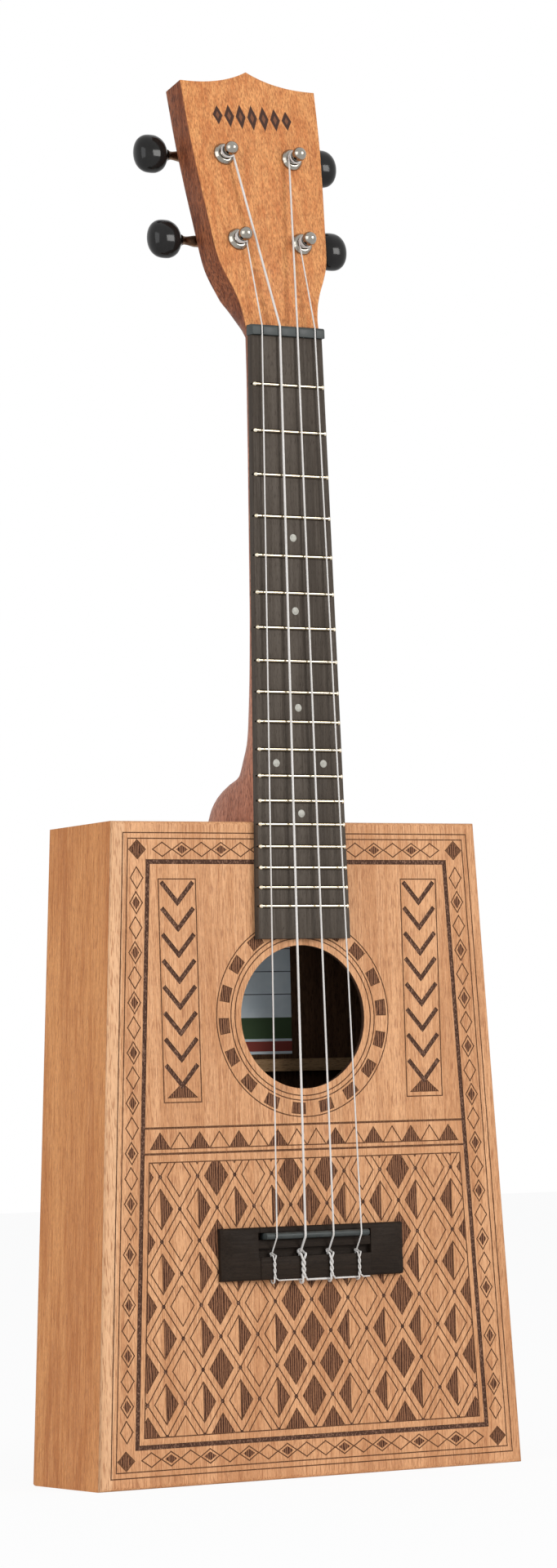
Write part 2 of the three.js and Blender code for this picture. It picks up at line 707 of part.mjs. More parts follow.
// The tie: through the block, back over its top, round the string and twisted to the rear edge.
// Places are across from the string, down from the tie block's front edge, and out from the soundboard.
const rearBulgeShare = 0.8;
const twistShares = [0.94, 0.08];
const loopDepthShare = 0.9;
const loopOpeningShare = 0.12;
const tailStepShares = [2, 3.4];
const tailReachShare = 0.76;
const lastTailReachShare = 0.46;
function tiePoints(i) {
  const radius = stringRadius(i);
  const apart = (stringDiameters[i] + windingGap) / 2;
  const blockFront = bridgeTopZ - channelFromEdge - channelWidth;
  const blockLength = bridgeHeight - channelFromEdge - channelWidth;
  const place = (across, down, rise) =>
    new THREE.Vector3(saddleX(i) + across, frontY - rise, blockFront - down);
  const pairRise = bridgeCentreThickness + stringAir + radius + apart;
  const rearTurn = (pairRise - tieHoleRise) / 2;
  const points = [place(0, 0, tieHoleRise), place(0, blockLength - rearTurn / 2, tieHoleRise)];
  const rearSteps = 6;
  const rearDown = blockLength + radius;
  for (let k = 0; k < rearSteps; k += 1) {
    const turn = (Math.PI * k) / rearSteps;
    points.push(place(
      -apart * (k / rearSteps),
      rearDown + rearTurn * rearBulgeShare * Math.sin(turn),
      tieHoleRise + rearTurn * (1 - Math.cos(turn)),
    ));
  }
  const twistSteps = 12;
  const twistTurns = 1.5;
  const strand = (share, sign) => {
    const turn = Math.PI * (1 + 2 * twistTurns * share);
    const down = blockLength * THREE.MathUtils.lerp(twistShares[0], twistShares[1], share);
    return place(sign * apart * Math.cos(turn), down, pairRise + sign * apart * Math.sin(turn));
  };
  for (let k = 0; k <= twistSteps; k += 1) points.push(strand(k / twistSteps, 1));
  const loopRadius = stringDiameters[i] + windingGap;
  const loopSteps = 10;
  const loopDown = -loopRadius;
  const loopDeep = loopRadius * loopDepthShare;
  const saddleRise = saddleStand + stringAir + radius;
  const descent = (saddleRise - tieHoleRise) / (saddleMidZ - blockFront);
  const overLoop = tieHoleRise + descent * (loopDeep - loopDown);
  const loopRise = overLoop - (stringDiameters[i] + windingGap) * Math.hypot(1, descent);
  const startSide = Math.sign(Math.cos(Math.PI * (1 + 2 * twistTurns)));
  for (let k = 0; k <= loopSteps; k += 1) {
    const turn = Math.PI * THREE.MathUtils.lerp(-loopOpeningShare, 1 + loopOpeningShare, k / loopSteps);
    const dip = Math.sqrt(Math.sin((Math.PI * k) / loopSteps));
    points.push(place(
      startSide * loopRadius * Math.cos(turn),
      loopDown - loopDeep * Math.sin(turn),
      THREE.MathUtils.lerp(pairRise, loopRise, k === loopSteps ? 0 : dip),
    ));
  }
  for (let k = twistSteps; k >= 0; k -= 1) points.push(strand(k / twistSteps, -1));
  const tailRise = bridgeCentreThickness + radius;
  const tailDown = blockLength + radius + stringAir;
  points.push(place(apart * tailStepShares[0], tailDown, pairRise - apart / 2));
  points.push(place(apart * tailStepShares[1], tailDown + radius, tailRise));
  const tailReach = stringSaddleSpacing * (i < stringCount - 1 ? tailReachShare : lastTailReachShare);
  points.push(place(tailReach, tailDown + radius, tailRise));
  return points;
}

function stringPoints(i) {
  const radius = stringRadius(i);
  const nutY = fingerboardY - stringNutHeight - radius;
  const saddleY = frontY - saddleStand - stringAir - radius;
  const soften = saddleThickness / 4;
  return [
    ...windingPoints(i),
    new THREE.Vector3(nutX(i), nutY + stringAir / 4, headBaseZ),
    new THREE.Vector3(nutX(i), nutY, nutZ + nutThickness / 2),
    new THREE.Vector3(nutX(i), nutY, nutZ),
    new THREE.Vector3(saddleX(i), saddleY, saddleMidZ + soften),
    new THREE.Vector3(saddleX(i), saddleY + soften / 4, saddleMidZ - soften),
    ...tiePoints(i),
  ];
}
for (let i = 0; i < stringCount; i += 1) {
  const points = stringPoints(i);
  const gap = leastGap(points, stringDiameters[i]);
  console.log(`string_${stringNames[i]}: least gap to itself ${gap.toFixed(2)} mm`);
  add(`string_${stringNames[i]}`, tube(points, stringRadius(i)), nylon);
}

// Bushing: a domed flange on the headstock's face over a sleeve in the bore.
// Each dome row: place between bore and rim as a share, height as a share.
const domeShares = [[0, 1], [0.35, 1], [0.75, 0.75], [1, 0.3]];
function makeBushing() {
  const bore = postRadius + runningGap;
  const dome = domeShares.map(([outShare, heightShare]) => [
    THREE.MathUtils.lerp(bore, flangeRadius, outShare), -flangeHeight * heightShare,
  ]);
  const profile = [
    ...dome, [flangeRadius, -seatGap], [sleeveRadius, -seatGap], [sleeveRadius, sleeveDepth],
    [bore, sleeveDepth], dome[0],
  ];
  return closed(new THREE.LatheGeometry(profile.map(([r, y]) => new THREE.Vector2(r, y)), latheSides));
}

// Gear of the post, its teeth leaning to follow the worm
const wormPitchRadius = wormDistance - gearPitchRadius;
const toothPitch = (2 * Math.PI * gearPitchRadius) / gearTeeth;
const toothLean = ((gearThickness / 2) * toothPitch) / (2 * Math.PI * wormPitchRadius) / gearPitchRadius;
const toothTipShare = 0.2;
const toothFootShare = 0.5;
const toothTip = toothPitch * toothTipShare;
const toothFoot = toothPitch * toothFootShare;
function makeGear() {
  const rings = [-1, 1].map((face) => {
    const ring = [];
    for (let n = 0; n < gearTeeth; n += 1) {
      const middle = (2 * Math.PI * n) / gearTeeth + face * toothLean;
      const tip = gearPitchRadius + toothAddendum;
      const foot = gearPitchRadius - toothDedendum;
      const y = wormDepth + (face * gearThickness) / 2;
      const corners = [[-toothFoot, foot], [-toothTip, tip], [toothTip, tip], [toothFoot, foot]];
      for (const [width, r] of corners) {
        const turn = middle + width / 2 / r;
        ring.push(new THREE.Vector3(r * Math.sin(turn), y, r * Math.cos(turn)));
      }
    }
    return ring;
  });
  return starLoft(rings, wormDepth, gearThickness);
}

// Two like rings round the y axis, closed by fans from points on the axis
function starLoft(rings, middle, thickness) {
  const count = rings[0].length;
  const ends = [-1, 1].map((face) => new THREE.Vector3(0, middle + (face * thickness) / 2, 0));
  const positions = [...rings.flat(), ...ends].flatMap((p) => [p.x, p.y, p.z]);
  const index = [];
  for (let i = 0; i < count; i += 1) {
    const next = (i + 1) % count;
    index.push(i, next, next + count, i, next + count, i + count);
    index.push(2 * count, next, i, 2 * count + 1, i + count, next + count);
  }
  const geometry = new THREE.BufferGeometry();
  geometry.setAttribute('position', new THREE.Float32BufferAttribute(positions, 3));
  geometry.setIndex(index);
  return closed(geometry);
}

// String post: ball cap, drilled waist, drum, shaft and gear
const capNeckShare = 0.72;
function makePost() {
  const profile = [[0, -capRise - capRadius]];
  const capSteps = 5;
  for (let k = 1; k < capSteps; k += 1) {
    const turn = (Math.PI * k) / (capSteps + 1);
    profile.push([capRadius * Math.sin(turn), -capRise - capRadius * Math.cos(turn)]);
  }
  profile.push([waistRadius, -capRise + capRadius * capNeckShare]);
  profile.push([waistRadius, -stringHoleRise + stringHoleRadius + slotGap]);
  profile.push([drumRadius, -stringHoleRise + stringHoleRadius * 2]);
  profile.push([drumRadius, -flangeHeight]);
  profile.push([postRadius, -flangeHeight + (postRadius - drumRadius)]);
  profile.push([postRadius, headThickness + plateThickness + runningGap]);
  profile.push([gearShoulderRadius, headThickness + plateThickness + runningGap]);
  profile.push([gearShoulderRadius, wormDepth + gearThickness / 2 + seatGap]);
  profile.push([0, wormDepth + gearThickness / 2 + seatGap]);
  const shaft = solid(new THREE.LatheGeometry(profile.map(([r, y]) => new THREE.Vector2(r, y)), latheSides));
  const hole = rod(
    stringHoleRadius,
    new THREE.Vector3(-capRadius, -stringHoleRise, 0),
    new THREE.Vector3(capRadius, -stringHoleRise, 0),
    smallHoleSides,
  );
  return geometryOf(shaft.add(solid(makeGear())).subtract(solid(hole)));
}

// Worm shaft along x with a right-handed thread, its first turn set where the gear has a gap
const wormLength = earSpan - earThickness - 2 * runningGap;
const earOuter = (earSpan + earThickness) / 2 + runningGap;
const shaftOuter = buttonReach - buttonLength * (1 - buttonBoreShare);
const threadStartShare = 0.75;
function makeWormShaft(side) {
  const threadTip = wormPitchRadius + toothAddendum;
  const threadRoot = wormPitchRadius - toothDedendum;
  const shoulder = shaftRadius + runningGap * 2;
  const half = wormLength / 2;
  const profile = [
    [0, -earOuter - earThickness / 2], [shaftRadius, -earOuter - earThickness / 2], [shaftRadius, -half],
    [threadRoot, -half + seatGap], [threadRoot, half - seatGap], [shaftRadius, half], [shaftRadius, earOuter],
    [shoulder, earOuter], [shoulder, earOuter + earThickness], [shaftRadius, earOuter + 2 * earThickness],
    [shaftRadius, shaftOuter], [0, shaftOuter],
  ];
  const lathe = new THREE.LatheGeometry(profile.map(([r, y]) => new THREE.Vector2(r, y)), latheSides);
  lathe.rotateZ(side > 0 ? -Math.PI / 2 : Math.PI / 2);
  const threadEnd = wormLength / 2 - toothFoot;
  const turns = (2 * threadEnd) / toothPitch;
  const steps = Math.round(turns * wormStepsPerTurn);
  const rings = [];
  for (let k = 0; k <= steps; k += 1) {
    const x = -threadEnd + (2 * threadEnd * k) / steps;
    const turn = 2 * Math.PI * (x / toothPitch - threadStartShare);
    const section = [
      [-toothFoot / 2, threadRoot - slotGap], [toothFoot / 2, threadRoot - slotGap],
      [toothTip / 2, threadTip], [-toothTip / 2, threadTip],
    ];
    rings.push(section.map(([shift, r]) => (
      new THREE.Vector3(x + shift, r * Math.cos(turn), r * Math.sin(turn))
    )));
  }
  return geometryOf(solid(lathe).add(solid(loft(rings))));
}

// Button: an egg-shaped knob, a little flattened, bored for the shaft.
// Each row: place along its length as a share, radius as a share.
const buttonShares = [
  [0, 0.33], [0.1, 0.35], [0.2, 0.48], [0.32, 0.7], [0.46, 0.9], [0.6, 0.99], [0.72, 0.98], [0.84, 0.84],
  [0.94, 0.52],
];
function makeButton(side) {
  const inner = buttonReach - buttonLength;
  const profile = [[0, inner]];
  for (const [lengthShare, radiusShare] of buttonShares) {
    profile.push([buttonRadius * radiusShare, inner + buttonLength * lengthShare]);
  }
  profile.push([0, buttonReach]);
  const lathe = new THREE.LatheGeometry(profile.map(([r, y]) => new THREE.Vector2(r, y)), latheSides);
  lathe.rotateZ(side > 0 ? -Math.PI / 2 : Math.PI / 2);
  lathe.scale(1, buttonFlatnessShare, 1);
  const bore = rod(
    shaftRadius + slotGap,
    new THREE.Vector3(side * (inner - overrun), 0, 0),
    new THREE.Vector3(side * (shaftOuter + slotGap), 0, 0),
    latheSides,
  );
  return geometryOf(solid(lathe).subtract(solid(bore)));
}

// Back plate with two ears that carry the worm shaft, and a hole for the post
function makePlate() {
  const low = headThickness + seatGap;
  const high = low + plateThickness - seatGap;
  let body = solid(block(
    -plateWidth / 2, plateWidth / 2, low, high, plateShift - plateLength / 2, plateShift + plateLength / 2,
  ));
  const earTop = wormDepth + shaftRadius + earThickness;
  for (const side of [-1, 1]) {
    const x = (side * earSpan) / 2;
    body = body.add(solid(block(
      x - earThickness / 2, x + earThickness / 2, low + plateThickness / 2, earTop,
      wormDistance - earHalfHeight, wormDistance + earHalfHeight,
    )));
  }
  const shaftHole = rod(
    shaftRadius + runningGap,
    new THREE.Vector3(-earSpan, wormDepth, wormDistance),
    new THREE.Vector3(earSpan, wormDepth, wormDistance),
    latheSides,
  );
  const postHole = rod(
    postRadius + runningGap,
    new THREE.Vector3(0, low - overrun, 0),
    new THREE.Vector3(0, high + overrun, 0),
    latheSides,
  );
  return geometryOf(body.subtract(solid(shaftHole)).subtract(solid(postHole)));
}

for (const { string, side, offset, rise } of tuners) {
  const name = stringNames[string];
  const tuner = new THREE.Group();
  tuner.position.set(side * offset, 0, rise);
  head.add(tuner);
  const knob = new THREE.Group();
  knob.position.set(0, wormDepth, wormDistance);
  tuner.add(knob);
  add(`bushing_${name}`, makeBushing(), nickel, tuner);
  add(`post_${name}`, makePost(), nickel, tuner);
  add(`tuner_plate_${name}`, makePlate(), nickel, tuner);
  add(`worm_shaft_${name}`, makeWormShaft(side), bronze, knob);
  add(`button_${name}`, makeButton(side), blackPlastic, knob);
}

export default ukulele;
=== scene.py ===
import bmesh
import bpy
import json
import math
from mathutils import Matrix, Vector
from mathutils.geometry import delaunay_2d_cdt


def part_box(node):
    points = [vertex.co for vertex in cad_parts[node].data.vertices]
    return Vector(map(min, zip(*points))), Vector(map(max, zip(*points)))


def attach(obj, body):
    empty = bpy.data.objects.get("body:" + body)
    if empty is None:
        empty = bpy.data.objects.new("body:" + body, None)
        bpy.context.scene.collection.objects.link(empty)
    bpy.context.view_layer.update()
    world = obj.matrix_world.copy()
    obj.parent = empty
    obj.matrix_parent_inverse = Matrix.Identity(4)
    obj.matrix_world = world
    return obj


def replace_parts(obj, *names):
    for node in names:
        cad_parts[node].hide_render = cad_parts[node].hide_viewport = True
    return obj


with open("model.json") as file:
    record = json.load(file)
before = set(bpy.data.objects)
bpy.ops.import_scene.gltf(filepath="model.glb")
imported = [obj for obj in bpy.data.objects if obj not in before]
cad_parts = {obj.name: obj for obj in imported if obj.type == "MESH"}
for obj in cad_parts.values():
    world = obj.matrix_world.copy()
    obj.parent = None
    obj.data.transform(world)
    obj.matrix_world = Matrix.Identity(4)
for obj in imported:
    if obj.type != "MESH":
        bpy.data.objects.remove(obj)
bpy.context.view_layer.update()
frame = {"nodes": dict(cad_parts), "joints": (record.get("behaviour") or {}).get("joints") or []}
mm = 0.001
print("frame loaded")

# Main places, read from the frame
boardLow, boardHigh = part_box("soundboard")
backLow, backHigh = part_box("back_panel")
nutLow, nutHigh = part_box("nut")
saddleLow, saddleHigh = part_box("saddle")
bridgeLow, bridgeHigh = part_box("bridge")
fingerboardLow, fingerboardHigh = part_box("fingerboard")
frontY = boardLow.y
boxHeight = boardHigh.z
stringLetters = ["g", "c", "e", "a"]
joints = {joint["name"]: joint for joint in frame["joints"]}


def headTurn(place):
    # Local x stays, local y goes back through the headstock, local z goes up along it
    depth = Vector(joints["post_g_turn"]["axis"])
    across = Vector((1, 0, 0))
    turn = Matrix((across, depth, across.cross(depth))).transposed().to_4x4()
    return Matrix.Translation(Vector(place)) @ turn


postPlace = {n: headTurn(joints[f"post_{n}_turn"]["pos_m"]) for n in stringLetters}
knobPlace = {n: headTurn(joints[f"knob_{n}_turn"]["pos_m"]) for n in stringLetters}
headPlace = headTurn((0, frontY, nutHigh.z))
outward = {n: math.copysign(1, postPlace[n].translation.x) for n in stringLetters}


# Camera, at the photograph's own place and lens
cameraPlace = {
    "location": (-1.02948, -1.75762, 0.14985),
    "forward": (0.50739, 0.8587, 0.07201),
    "up": (-0.01087, -0.07719, 0.99696),
    "lens": 107.98,
}


def makeCamera(place):
    data = bpy.data.cameras.new("photoCamera")
    data.lens = place["lens"]
    data.sensor_width = 36
    camera = bpy.data.objects.new("photoCamera", data)
    back = -Vector(place["forward"]).normalized()
    across = Vector(place["up"]).cross(back).normalized()
    turn = Matrix((across, back.cross(across), back)).transposed().to_4x4()
    camera.matrix_world = Matrix.Translation(place["location"]) @ turn
    bpy.context.scene.collection.objects.link(camera)
    bpy.context.scene.camera = camera


makeCamera(cameraPlace)


class Wire:
    # A shader socket that sums can be written on
    def __init__(self, shader, socket):
        self.shader = shader
        self.socket = socket

    def maths(self, operation, first, second):
        return self.shader.node("Math", {"operation": operation}, {0: first, 1: second})

    def __add__(self, other):
        return self.maths("ADD", self, other)

    def __radd__(self, other):
        return self.maths("ADD", other, self)

    def __sub__(self, other):
        return self.maths("SUBTRACT", self, other)

    def __rsub__(self, other):
        return self.maths("SUBTRACT", other, self)

    def __mul__(self, other):
        return self.maths("MULTIPLY", self, other)

    def __rmul__(self, other):
        return self.maths("MULTIPLY", other, self)

    def __truediv__(self, other):
        return self.maths("DIVIDE", self, other)

    def __abs__(self):
        return self.maths("ABSOLUTE", self, 0)


class Shader:
    # One material or world and the nodes in it
    def __init__(self, name, owner=None):
        self.owner = owner or bpy.data.materials.new(name)
        self.owner.use_nodes = True
        self.tree = self.owner.node_tree
        self.tree.nodes.clear()

    def node(self, kind, settings=None, sockets=None, out=0):
        made = self.tree.nodes.new("ShaderNode" + kind)
        for name, value in (settings or {}).items():
            setattr(made, name, value)
        for name, value in (sockets or {}).items():
            if isinstance(value, Wire):
                self.tree.links.new(value.socket, made.inputs[name])
            elif made.inputs[name].type == "RGBA":
                made.inputs[name].default_value = (*value, 1)
            else:
                made.inputs[name].default_value = value
        return Wire(self, made.outputs[out])

    def place(self):
        return self.node("TexCoord", out=3)

    def parts(self, vector):
        outputs = self.node("SeparateXYZ", sockets={0: vector}).socket.node.outputs
        return [Wire(self, outputs[k]) for k in range(3)]

    def noise(self, lengths, detail=2, rough=0.5, warp=0):
        scale = tuple(1 / length for length in lengths)
        stretched = self.node("VectorMath", {"operation": "MULTIPLY"}, {0: self.place(), 1: scale})
        sockets = {"Vector": stretched, "Scale": 1, "Detail": detail, "Roughness": rough, "Distortion": warp}
        return self.node("TexNoise", sockets=sockets)

    def ramp(self, value, low, high, start=0, end=1):
        sockets = {"Value": value, "From Min": low, "From Max": high, "To Min": start, "To Max": end}
        return self.node("MapRange", {"interpolation_type": "SMOOTHSTEP"}, sockets)

    def mix(self, factor, first, second):
        return self.node("Mix", {"data_type": "RGBA"}, {0: factor, 6: first, 7: second}, out=2)

    def shade(self, colour, value):
        grey = self.node("CombineColor", sockets={0: value, 1: value, 2: value})
        return self.node("Mix", {"data_type": "RGBA", "blend_type": "MULTIPLY"}, {0: 1.0, 6: colour, 7: grey}, out=2)

    def bump(self, height, depth, strength=1.0):
        return self.node("Bump", sockets={"Strength": strength, "Distance": depth, "Height": height})

    def seen(self):
        # One for rays from the camera, off metal and through nylon, so that they all find white
        path = self.node("LightPath").socket.node.outputs
        found = [Wire(self, path[name]) for name in ("Is Camera Ray", "Is Glossy Ray", "Is Transmission Ray")]
        either = found[0].maths("MAXIMUM", found[0], found[1])
        return either.maths("MAXIMUM", either, found[2])

    def end(self, surface):
        output = self.tree.nodes.new("ShaderNodeOutput" + ("World" if self.owner.id_type == "WORLD" else "Material"))
        self.tree.links.new(surface.socket, output.inputs[0])
        return self.owner

    def principled(self, sockets):
        return self.end(self.node("BsdfPrincipled", sockets=sockets))


# Woods, in colours as they look in plain light. Grain lengths are in metres across, deep and along.
boardWoodLook = {
    "light": (0.67, 0.355, 0.175), "dark": (0.5, 0.235, 0.103), "pore": (0.31, 0.12, 0.048),
    "broad": (0.011, 0.011, 0.12), "streak": (0.0011, 0.0011, 0.04), "pores": (0.00042, 0.00042, 0.0065),
    "speck": (0.0005, 0.0005, 0.0012), "poreStart": 0.51, "poreShare": 0.68, "speckShare": 0.45,
    "rough": 0.55, "bump": 0.00003, "gloss": 0.25,
}
sideWoodLook = {
    "light": (0.66, 0.295, 0.105), "dark": (0.46, 0.17, 0.052), "pore": (0.33, 0.11, 0.034),
    "broad": (0.01, 0.01, 0.16), "streak": (0.0012, 0.0012, 0.06), "pores": (0.0005, 0.0005, 0.006),
    "speck": (0.0005, 0.0005, 0.0014), "poreStart": 0.52, "poreShare": 0.55, "speckShare": 0.5,
    "rough": 0.55, "bump": 0.00002, "gloss": 0.2,
}
neckWoodLook = {
    "light": (0.5, 0.22, 0.135), "dark": (0.33, 0.128, 0.074), "pore": (0.14, 0.046, 0.027),
    "broad": (0.01, 0.01, 0.05), "streak": (0.0012, 0.0012, 0.014), "pores": (0.0006, 0.0006, 0.003),
    "speck": (0.0006, 0.0006, 0.0012), "poreStart": 0.5, "poreShare": 0.75, "speckShare": 0.7,
    "rough": 0.45, "bump": 0.00004, "gloss": 0.15,
}
# Painted shade: darker colours for the sides of the head, standing in for the shade that falls there
headSideShadeLook = {
    **neckWoodLook, "light": (0.31, 0.105, 0.046), "dark": (0.16, 0.044, 0.018), "pore": (0.045, 0.013, 0.007),
    "poreStart": 0.48, "poreShare": 0.65, "speckShare": 0.9,
}
headFaceLook = {
    "light": (0.66, 0.3, 0.11), "dark": (0.5, 0.18, 0.058), "pore": (0.29, 0.088, 0.028),
    "broad": (0.005, 0.005, 0.035), "streak": (0.0018, 0.0018, 0.014), "pores": (0.00048, 0.00048, 0.0027),
    "speck": (0.0006, 0.0006, 0.0022), "poreStart": 0.49, "poreShare": 0.55, "speckShare": 1,
    "depth": 0.0005,
}
innerWoodLook = {
    "light": (0.4, 0.25, 0.13), "dark": (0.28, 0.165, 0.08), "pore": (0.16, 0.085, 0.04),
    "broad": (0.16, 0.012, 0.012), "streak": (0.03, 0.0012, 0.0012), "pores": (0.003, 0.0005, 0.0005),
    "speck": (0.001, 0.0005, 0.0005), "poreStart": 0.52, "poreShare": 0.6, "speckShare": 0.3,
    "rough": 0.8, "bump": 0.00004, "gloss": 0.1,
}
# Painted shade: the inside of the box, darker wood for faces that the light hardly reaches
insideShadeLook = {
    **innerWoodLook, "light": (0.13, 0.068, 0.036), "dark": (0.075, 0.038, 0.021), "pore": (0.03, 0.015, 0.009),
    "broad": (0.012, 0.012, 0.16), "streak": (0.0012, 0.0012, 0.03), "pores": (0.0005, 0.0005, 0.003),
}
fingerboardLook = {
    "light": (0.078, 0.062, 0.048), "dark": (0.046, 0.035, 0.026), "pore": (0.022, 0.015, 0.011),
    "broad": (0.006, 0.006, 0.2), "streak": (0.0009, 0.0009, 0.03), "pores": (0.00035, 0.00035, 0.003),
    "speck": (0.0005, 0.0005, 0.001), "poreStart": 0.54, "poreShare": 0.5, "speckShare": 0.25,
    "rough": 0.55, "bump": 0.00003, "gloss": 0.15,
}
bridgeLook = {
    "light": (0.024, 0.016, 0.011), "dark": (0.015, 0.01, 0.007), "pore": (0.009, 0.006, 0.005),
    "broad": (0.06, 0.006, 0.006), "streak": (0.02, 0.0008, 0.0008), "pores": (0.002, 0.00035, 0.00035),
    "speck": (0.001, 0.0005, 0.0005), "poreStart": 0.54, "poreShare": 0.4, "speckShare": 0.4,
    "rough": 0.55, "bump": 0.00003, "gloss": 0.08,
}


def acrossGrain(look):
    # The same wood with its grain running from side to side
    turned = {name: (look[name][2], look[name][1], look[name][0]) for name in ("broad", "streak", "pores", "speck")}
    return {**look, **turned}


def woodColour(shader, look):
    broad = shader.noise(look["broad"], detail=3, rough=0.6, warp=0.4)
    streak = shader.noise(look["streak"], detail=3, rough=0.65)
    pores = shader.ramp(shader.noise(look["pores"]), look["poreStart"], look["poreStart"] + 0.12)
    speck = shader.noise(look["speck"])
    body = shader.mix(shader.ramp(broad * 0.55 + streak * 0.45, 0.36, 0.64), look["light"], look["dark"])
    marked = shader.mix(pores * look["poreShare"], body, look["pore"])
    return shader.shade(marked, 1 + (speck - 0.5) * look["speckShare"]), pores, streak


# A painted highlight: a paler strip down the left edge of the soundboard, in millimetres
paintedHighlightLook = {"colour": (0.79, 0.5, 0.29), "width": 6.5, "fade": 1.6, "share": 0.5}


def woodMaterial(name, look, paintedHighlight=None):
    shader = Shader(name)
    colour, pores, streak = woodColour(shader, look)
    if paintedHighlight:
        across, _, height = shader.parts(shader.place())
        corners = [v.co for v in frame["nodes"]["soundboard"].data.vertices]
        low, high = [min(c.x for c in corners if abs(c.z - z) < mm) / mm for z in (boardLow.z, boxHeight)]
        inset = across / mm - low - height * ((high - low) / boxHeight)
        # Painted highlight: the strip along the left edge is mixed towards a paler colour
        highlightStrip = shader.ramp(inset, paintedHighlight["width"] - paintedHighlight["fade"], paintedHighlight["width"], 1, 0) * paintedHighlight["share"]
        colour = shader.mix(highlightStrip * (1 - pores * 0.8), colour, paintedHighlight["colour"])
    return shader.principled({
        "Base Color": colour,
        "Roughness": shader.ramp(streak, 0.3, 0.7, look["rough"] - 0.06, look["rough"] + 0.08),
        "Normal": shader.bump(streak * 0.5 - pores, look["bump"]),
        "Specular IOR Level": look["gloss"],
    })


# Burnt lozenges on the face of the headstock, in millimetres from the nut and from the middle
lozengeLook = {"rise": 98, "pitch": 5.8, "count": 7, "half": 6.4, "fall": 0.0052, "colour": (0.045, 0.018, 0.011),
               "inner": 0.42, "innerColour": (0.16, 0.062, 0.03)}


def neckMaterial():
    # The face of the headstock is cut flat along the grain and shows lighter than its edges, whose colour darkens
    # towards the headstock as painted shade
    shader = Shader("neckWood")
    edge, pores, streak = woodColour(shader, neckWoodLook)
    headSideShade = woodColour(shader, headSideShadeLook)[0]
    face = woodColour(shader, headFaceLook)[0]
    fromFace = shader.node("VectorMath", {"operation": "SUBTRACT"}, {0: shader.place(), 1: headPlace.translation})
    directions = [headPlace.to_3x3() @ Vector(axis) for axis in ((1, 0, 0), (0, 1, 0), (0, 0, 1))]
    across, depth, rise = [shader.node("VectorMath", {"operation": "DOT_PRODUCT"}, {0: fromFace, 1: way}, out=1)
                           for way in directions]
    look = lozengeLook
    across = across / mm
    cell = shader.node("Math", {"operation": "FRACT"}, {0: across / look["pitch"] + 0.5}) - 0.5
    inRow = shader.ramp(abs(across), look["pitch"] * look["count"] / 2 - 0.05, look["pitch"] * look["count"] / 2, 1, 0)
    tall = look["half"] * (1 - across * across * look["fall"] / look["half"])
    reach = abs(cell) * 2.2 + abs(rise / mm - look["rise"]) / tall
    face = shader.mix(shader.ramp(reach, 0.9, 1, 1, 0) * inRow, face, look["colour"])
    face = shader.mix(shader.ramp(reach, look["inner"] - 0.1, look["inner"], 1, 0) * inRow, face, look["innerColour"])
    height = shader.parts(shader.place())[2]
    # Painted shade: the neck's sides darken towards the headstock
    edge = shader.mix(shader.ramp(height, nutLow.z - 60 * mm, nutHigh.z + 20 * mm), edge, headSideShade)
    onFace = shader.ramp(depth, 0, headFaceLook["depth"], 1, 0)
    onFace = onFace * shader.ramp(height, nutHigh.z - 2 * mm, nutHigh.z)
    return shader.principled({
        "Base Color": shader.mix(onFace, edge, face),
        "Roughness": shader.ramp(streak, 0.3, 0.7, neckWoodLook["rough"] - 0.06, neckWoodLook["rough"] + 0.08),
        "Normal": shader.bump(streak * 0.5 - pores, neckWoodLook["bump"]),
        "Specular IOR Level": neckWoodLook["gloss"],
    })


# Burnt wood: the bottom of the engraving, ribbed where an area is filled
burnLook = {
    "line": (0.12, 0.054, 0.028), "lineLight": (0.24, 0.12, 0.064), "edge": (0.06, 0.03, 0.018),
    "bar": (0.07, 0.034, 0.022), "barLight": (0.24, 0.13, 0.085), "speck": (0.00045, 0.00045, 0.0009),
    "fill": (0.27, 0.125, 0.066), "fillRib": (0.045, 0.019, 0.012), "ribPitch": 1.05 * mm,
    "ribWander": (0.0022, 0.0022, 0.012),
}


def burntMaterial(name, dark, light, start):
    shader = Shader(name)
    speck = shader.noise(burnLook["speck"])
    return shader.principled({
        "Base Color": shader.mix(shader.ramp(speck, start, start + 0.22), burnLook[dark], burnLook[light]),
        "Roughness": 0.85,
        "Specular IOR Level": 0.1,
    })


def ribbedMaterial():
    shader = Shader("burntFill")
    wander = shader.noise(burnLook["ribWander"])
    speck = shader.noise(burnLook["speck"])
    across = shader.parts(shader.place())[0] / burnLook["ribPitch"] + wander * 1.6
    rib = abs(shader.node("Math", {"operation": "FRACT"}, {0: across}) - 0.5) * 2
    darkness = shader.ramp(rib + speck * 0.7, 0.45, 1.2)
    return shader.principled({
        "Base Color": shader.mix(darkness, burnLook["fill"], burnLook["fillRib"]),
        "Roughness": 0.85,
        "Normal": shader.bump(rib, 0.00008),
        "Specular IOR Level": 0.1,
    })


def plainMaterial(name, look):
    # A smooth finish with faint mottling, so that no surface is one flat colour
    shader = Shader(name)
    mottle = shader.noise(look["mottle"], detail=3, rough=0.6)
    sockets = {
        "Base Color": shader.mix(shader.ramp(mottle, 0.3, 0.7), look["colour"], look["second"]),
        "Roughness": shader.ramp(mottle, 0.3, 0.7, look["rough"], look["rough"] + look["roughSpread"]),
        "Metallic": look.get("metal", 0.0),
    }
    sockets.update(look.get("extra", {}))
    return shader.principled(sockets)


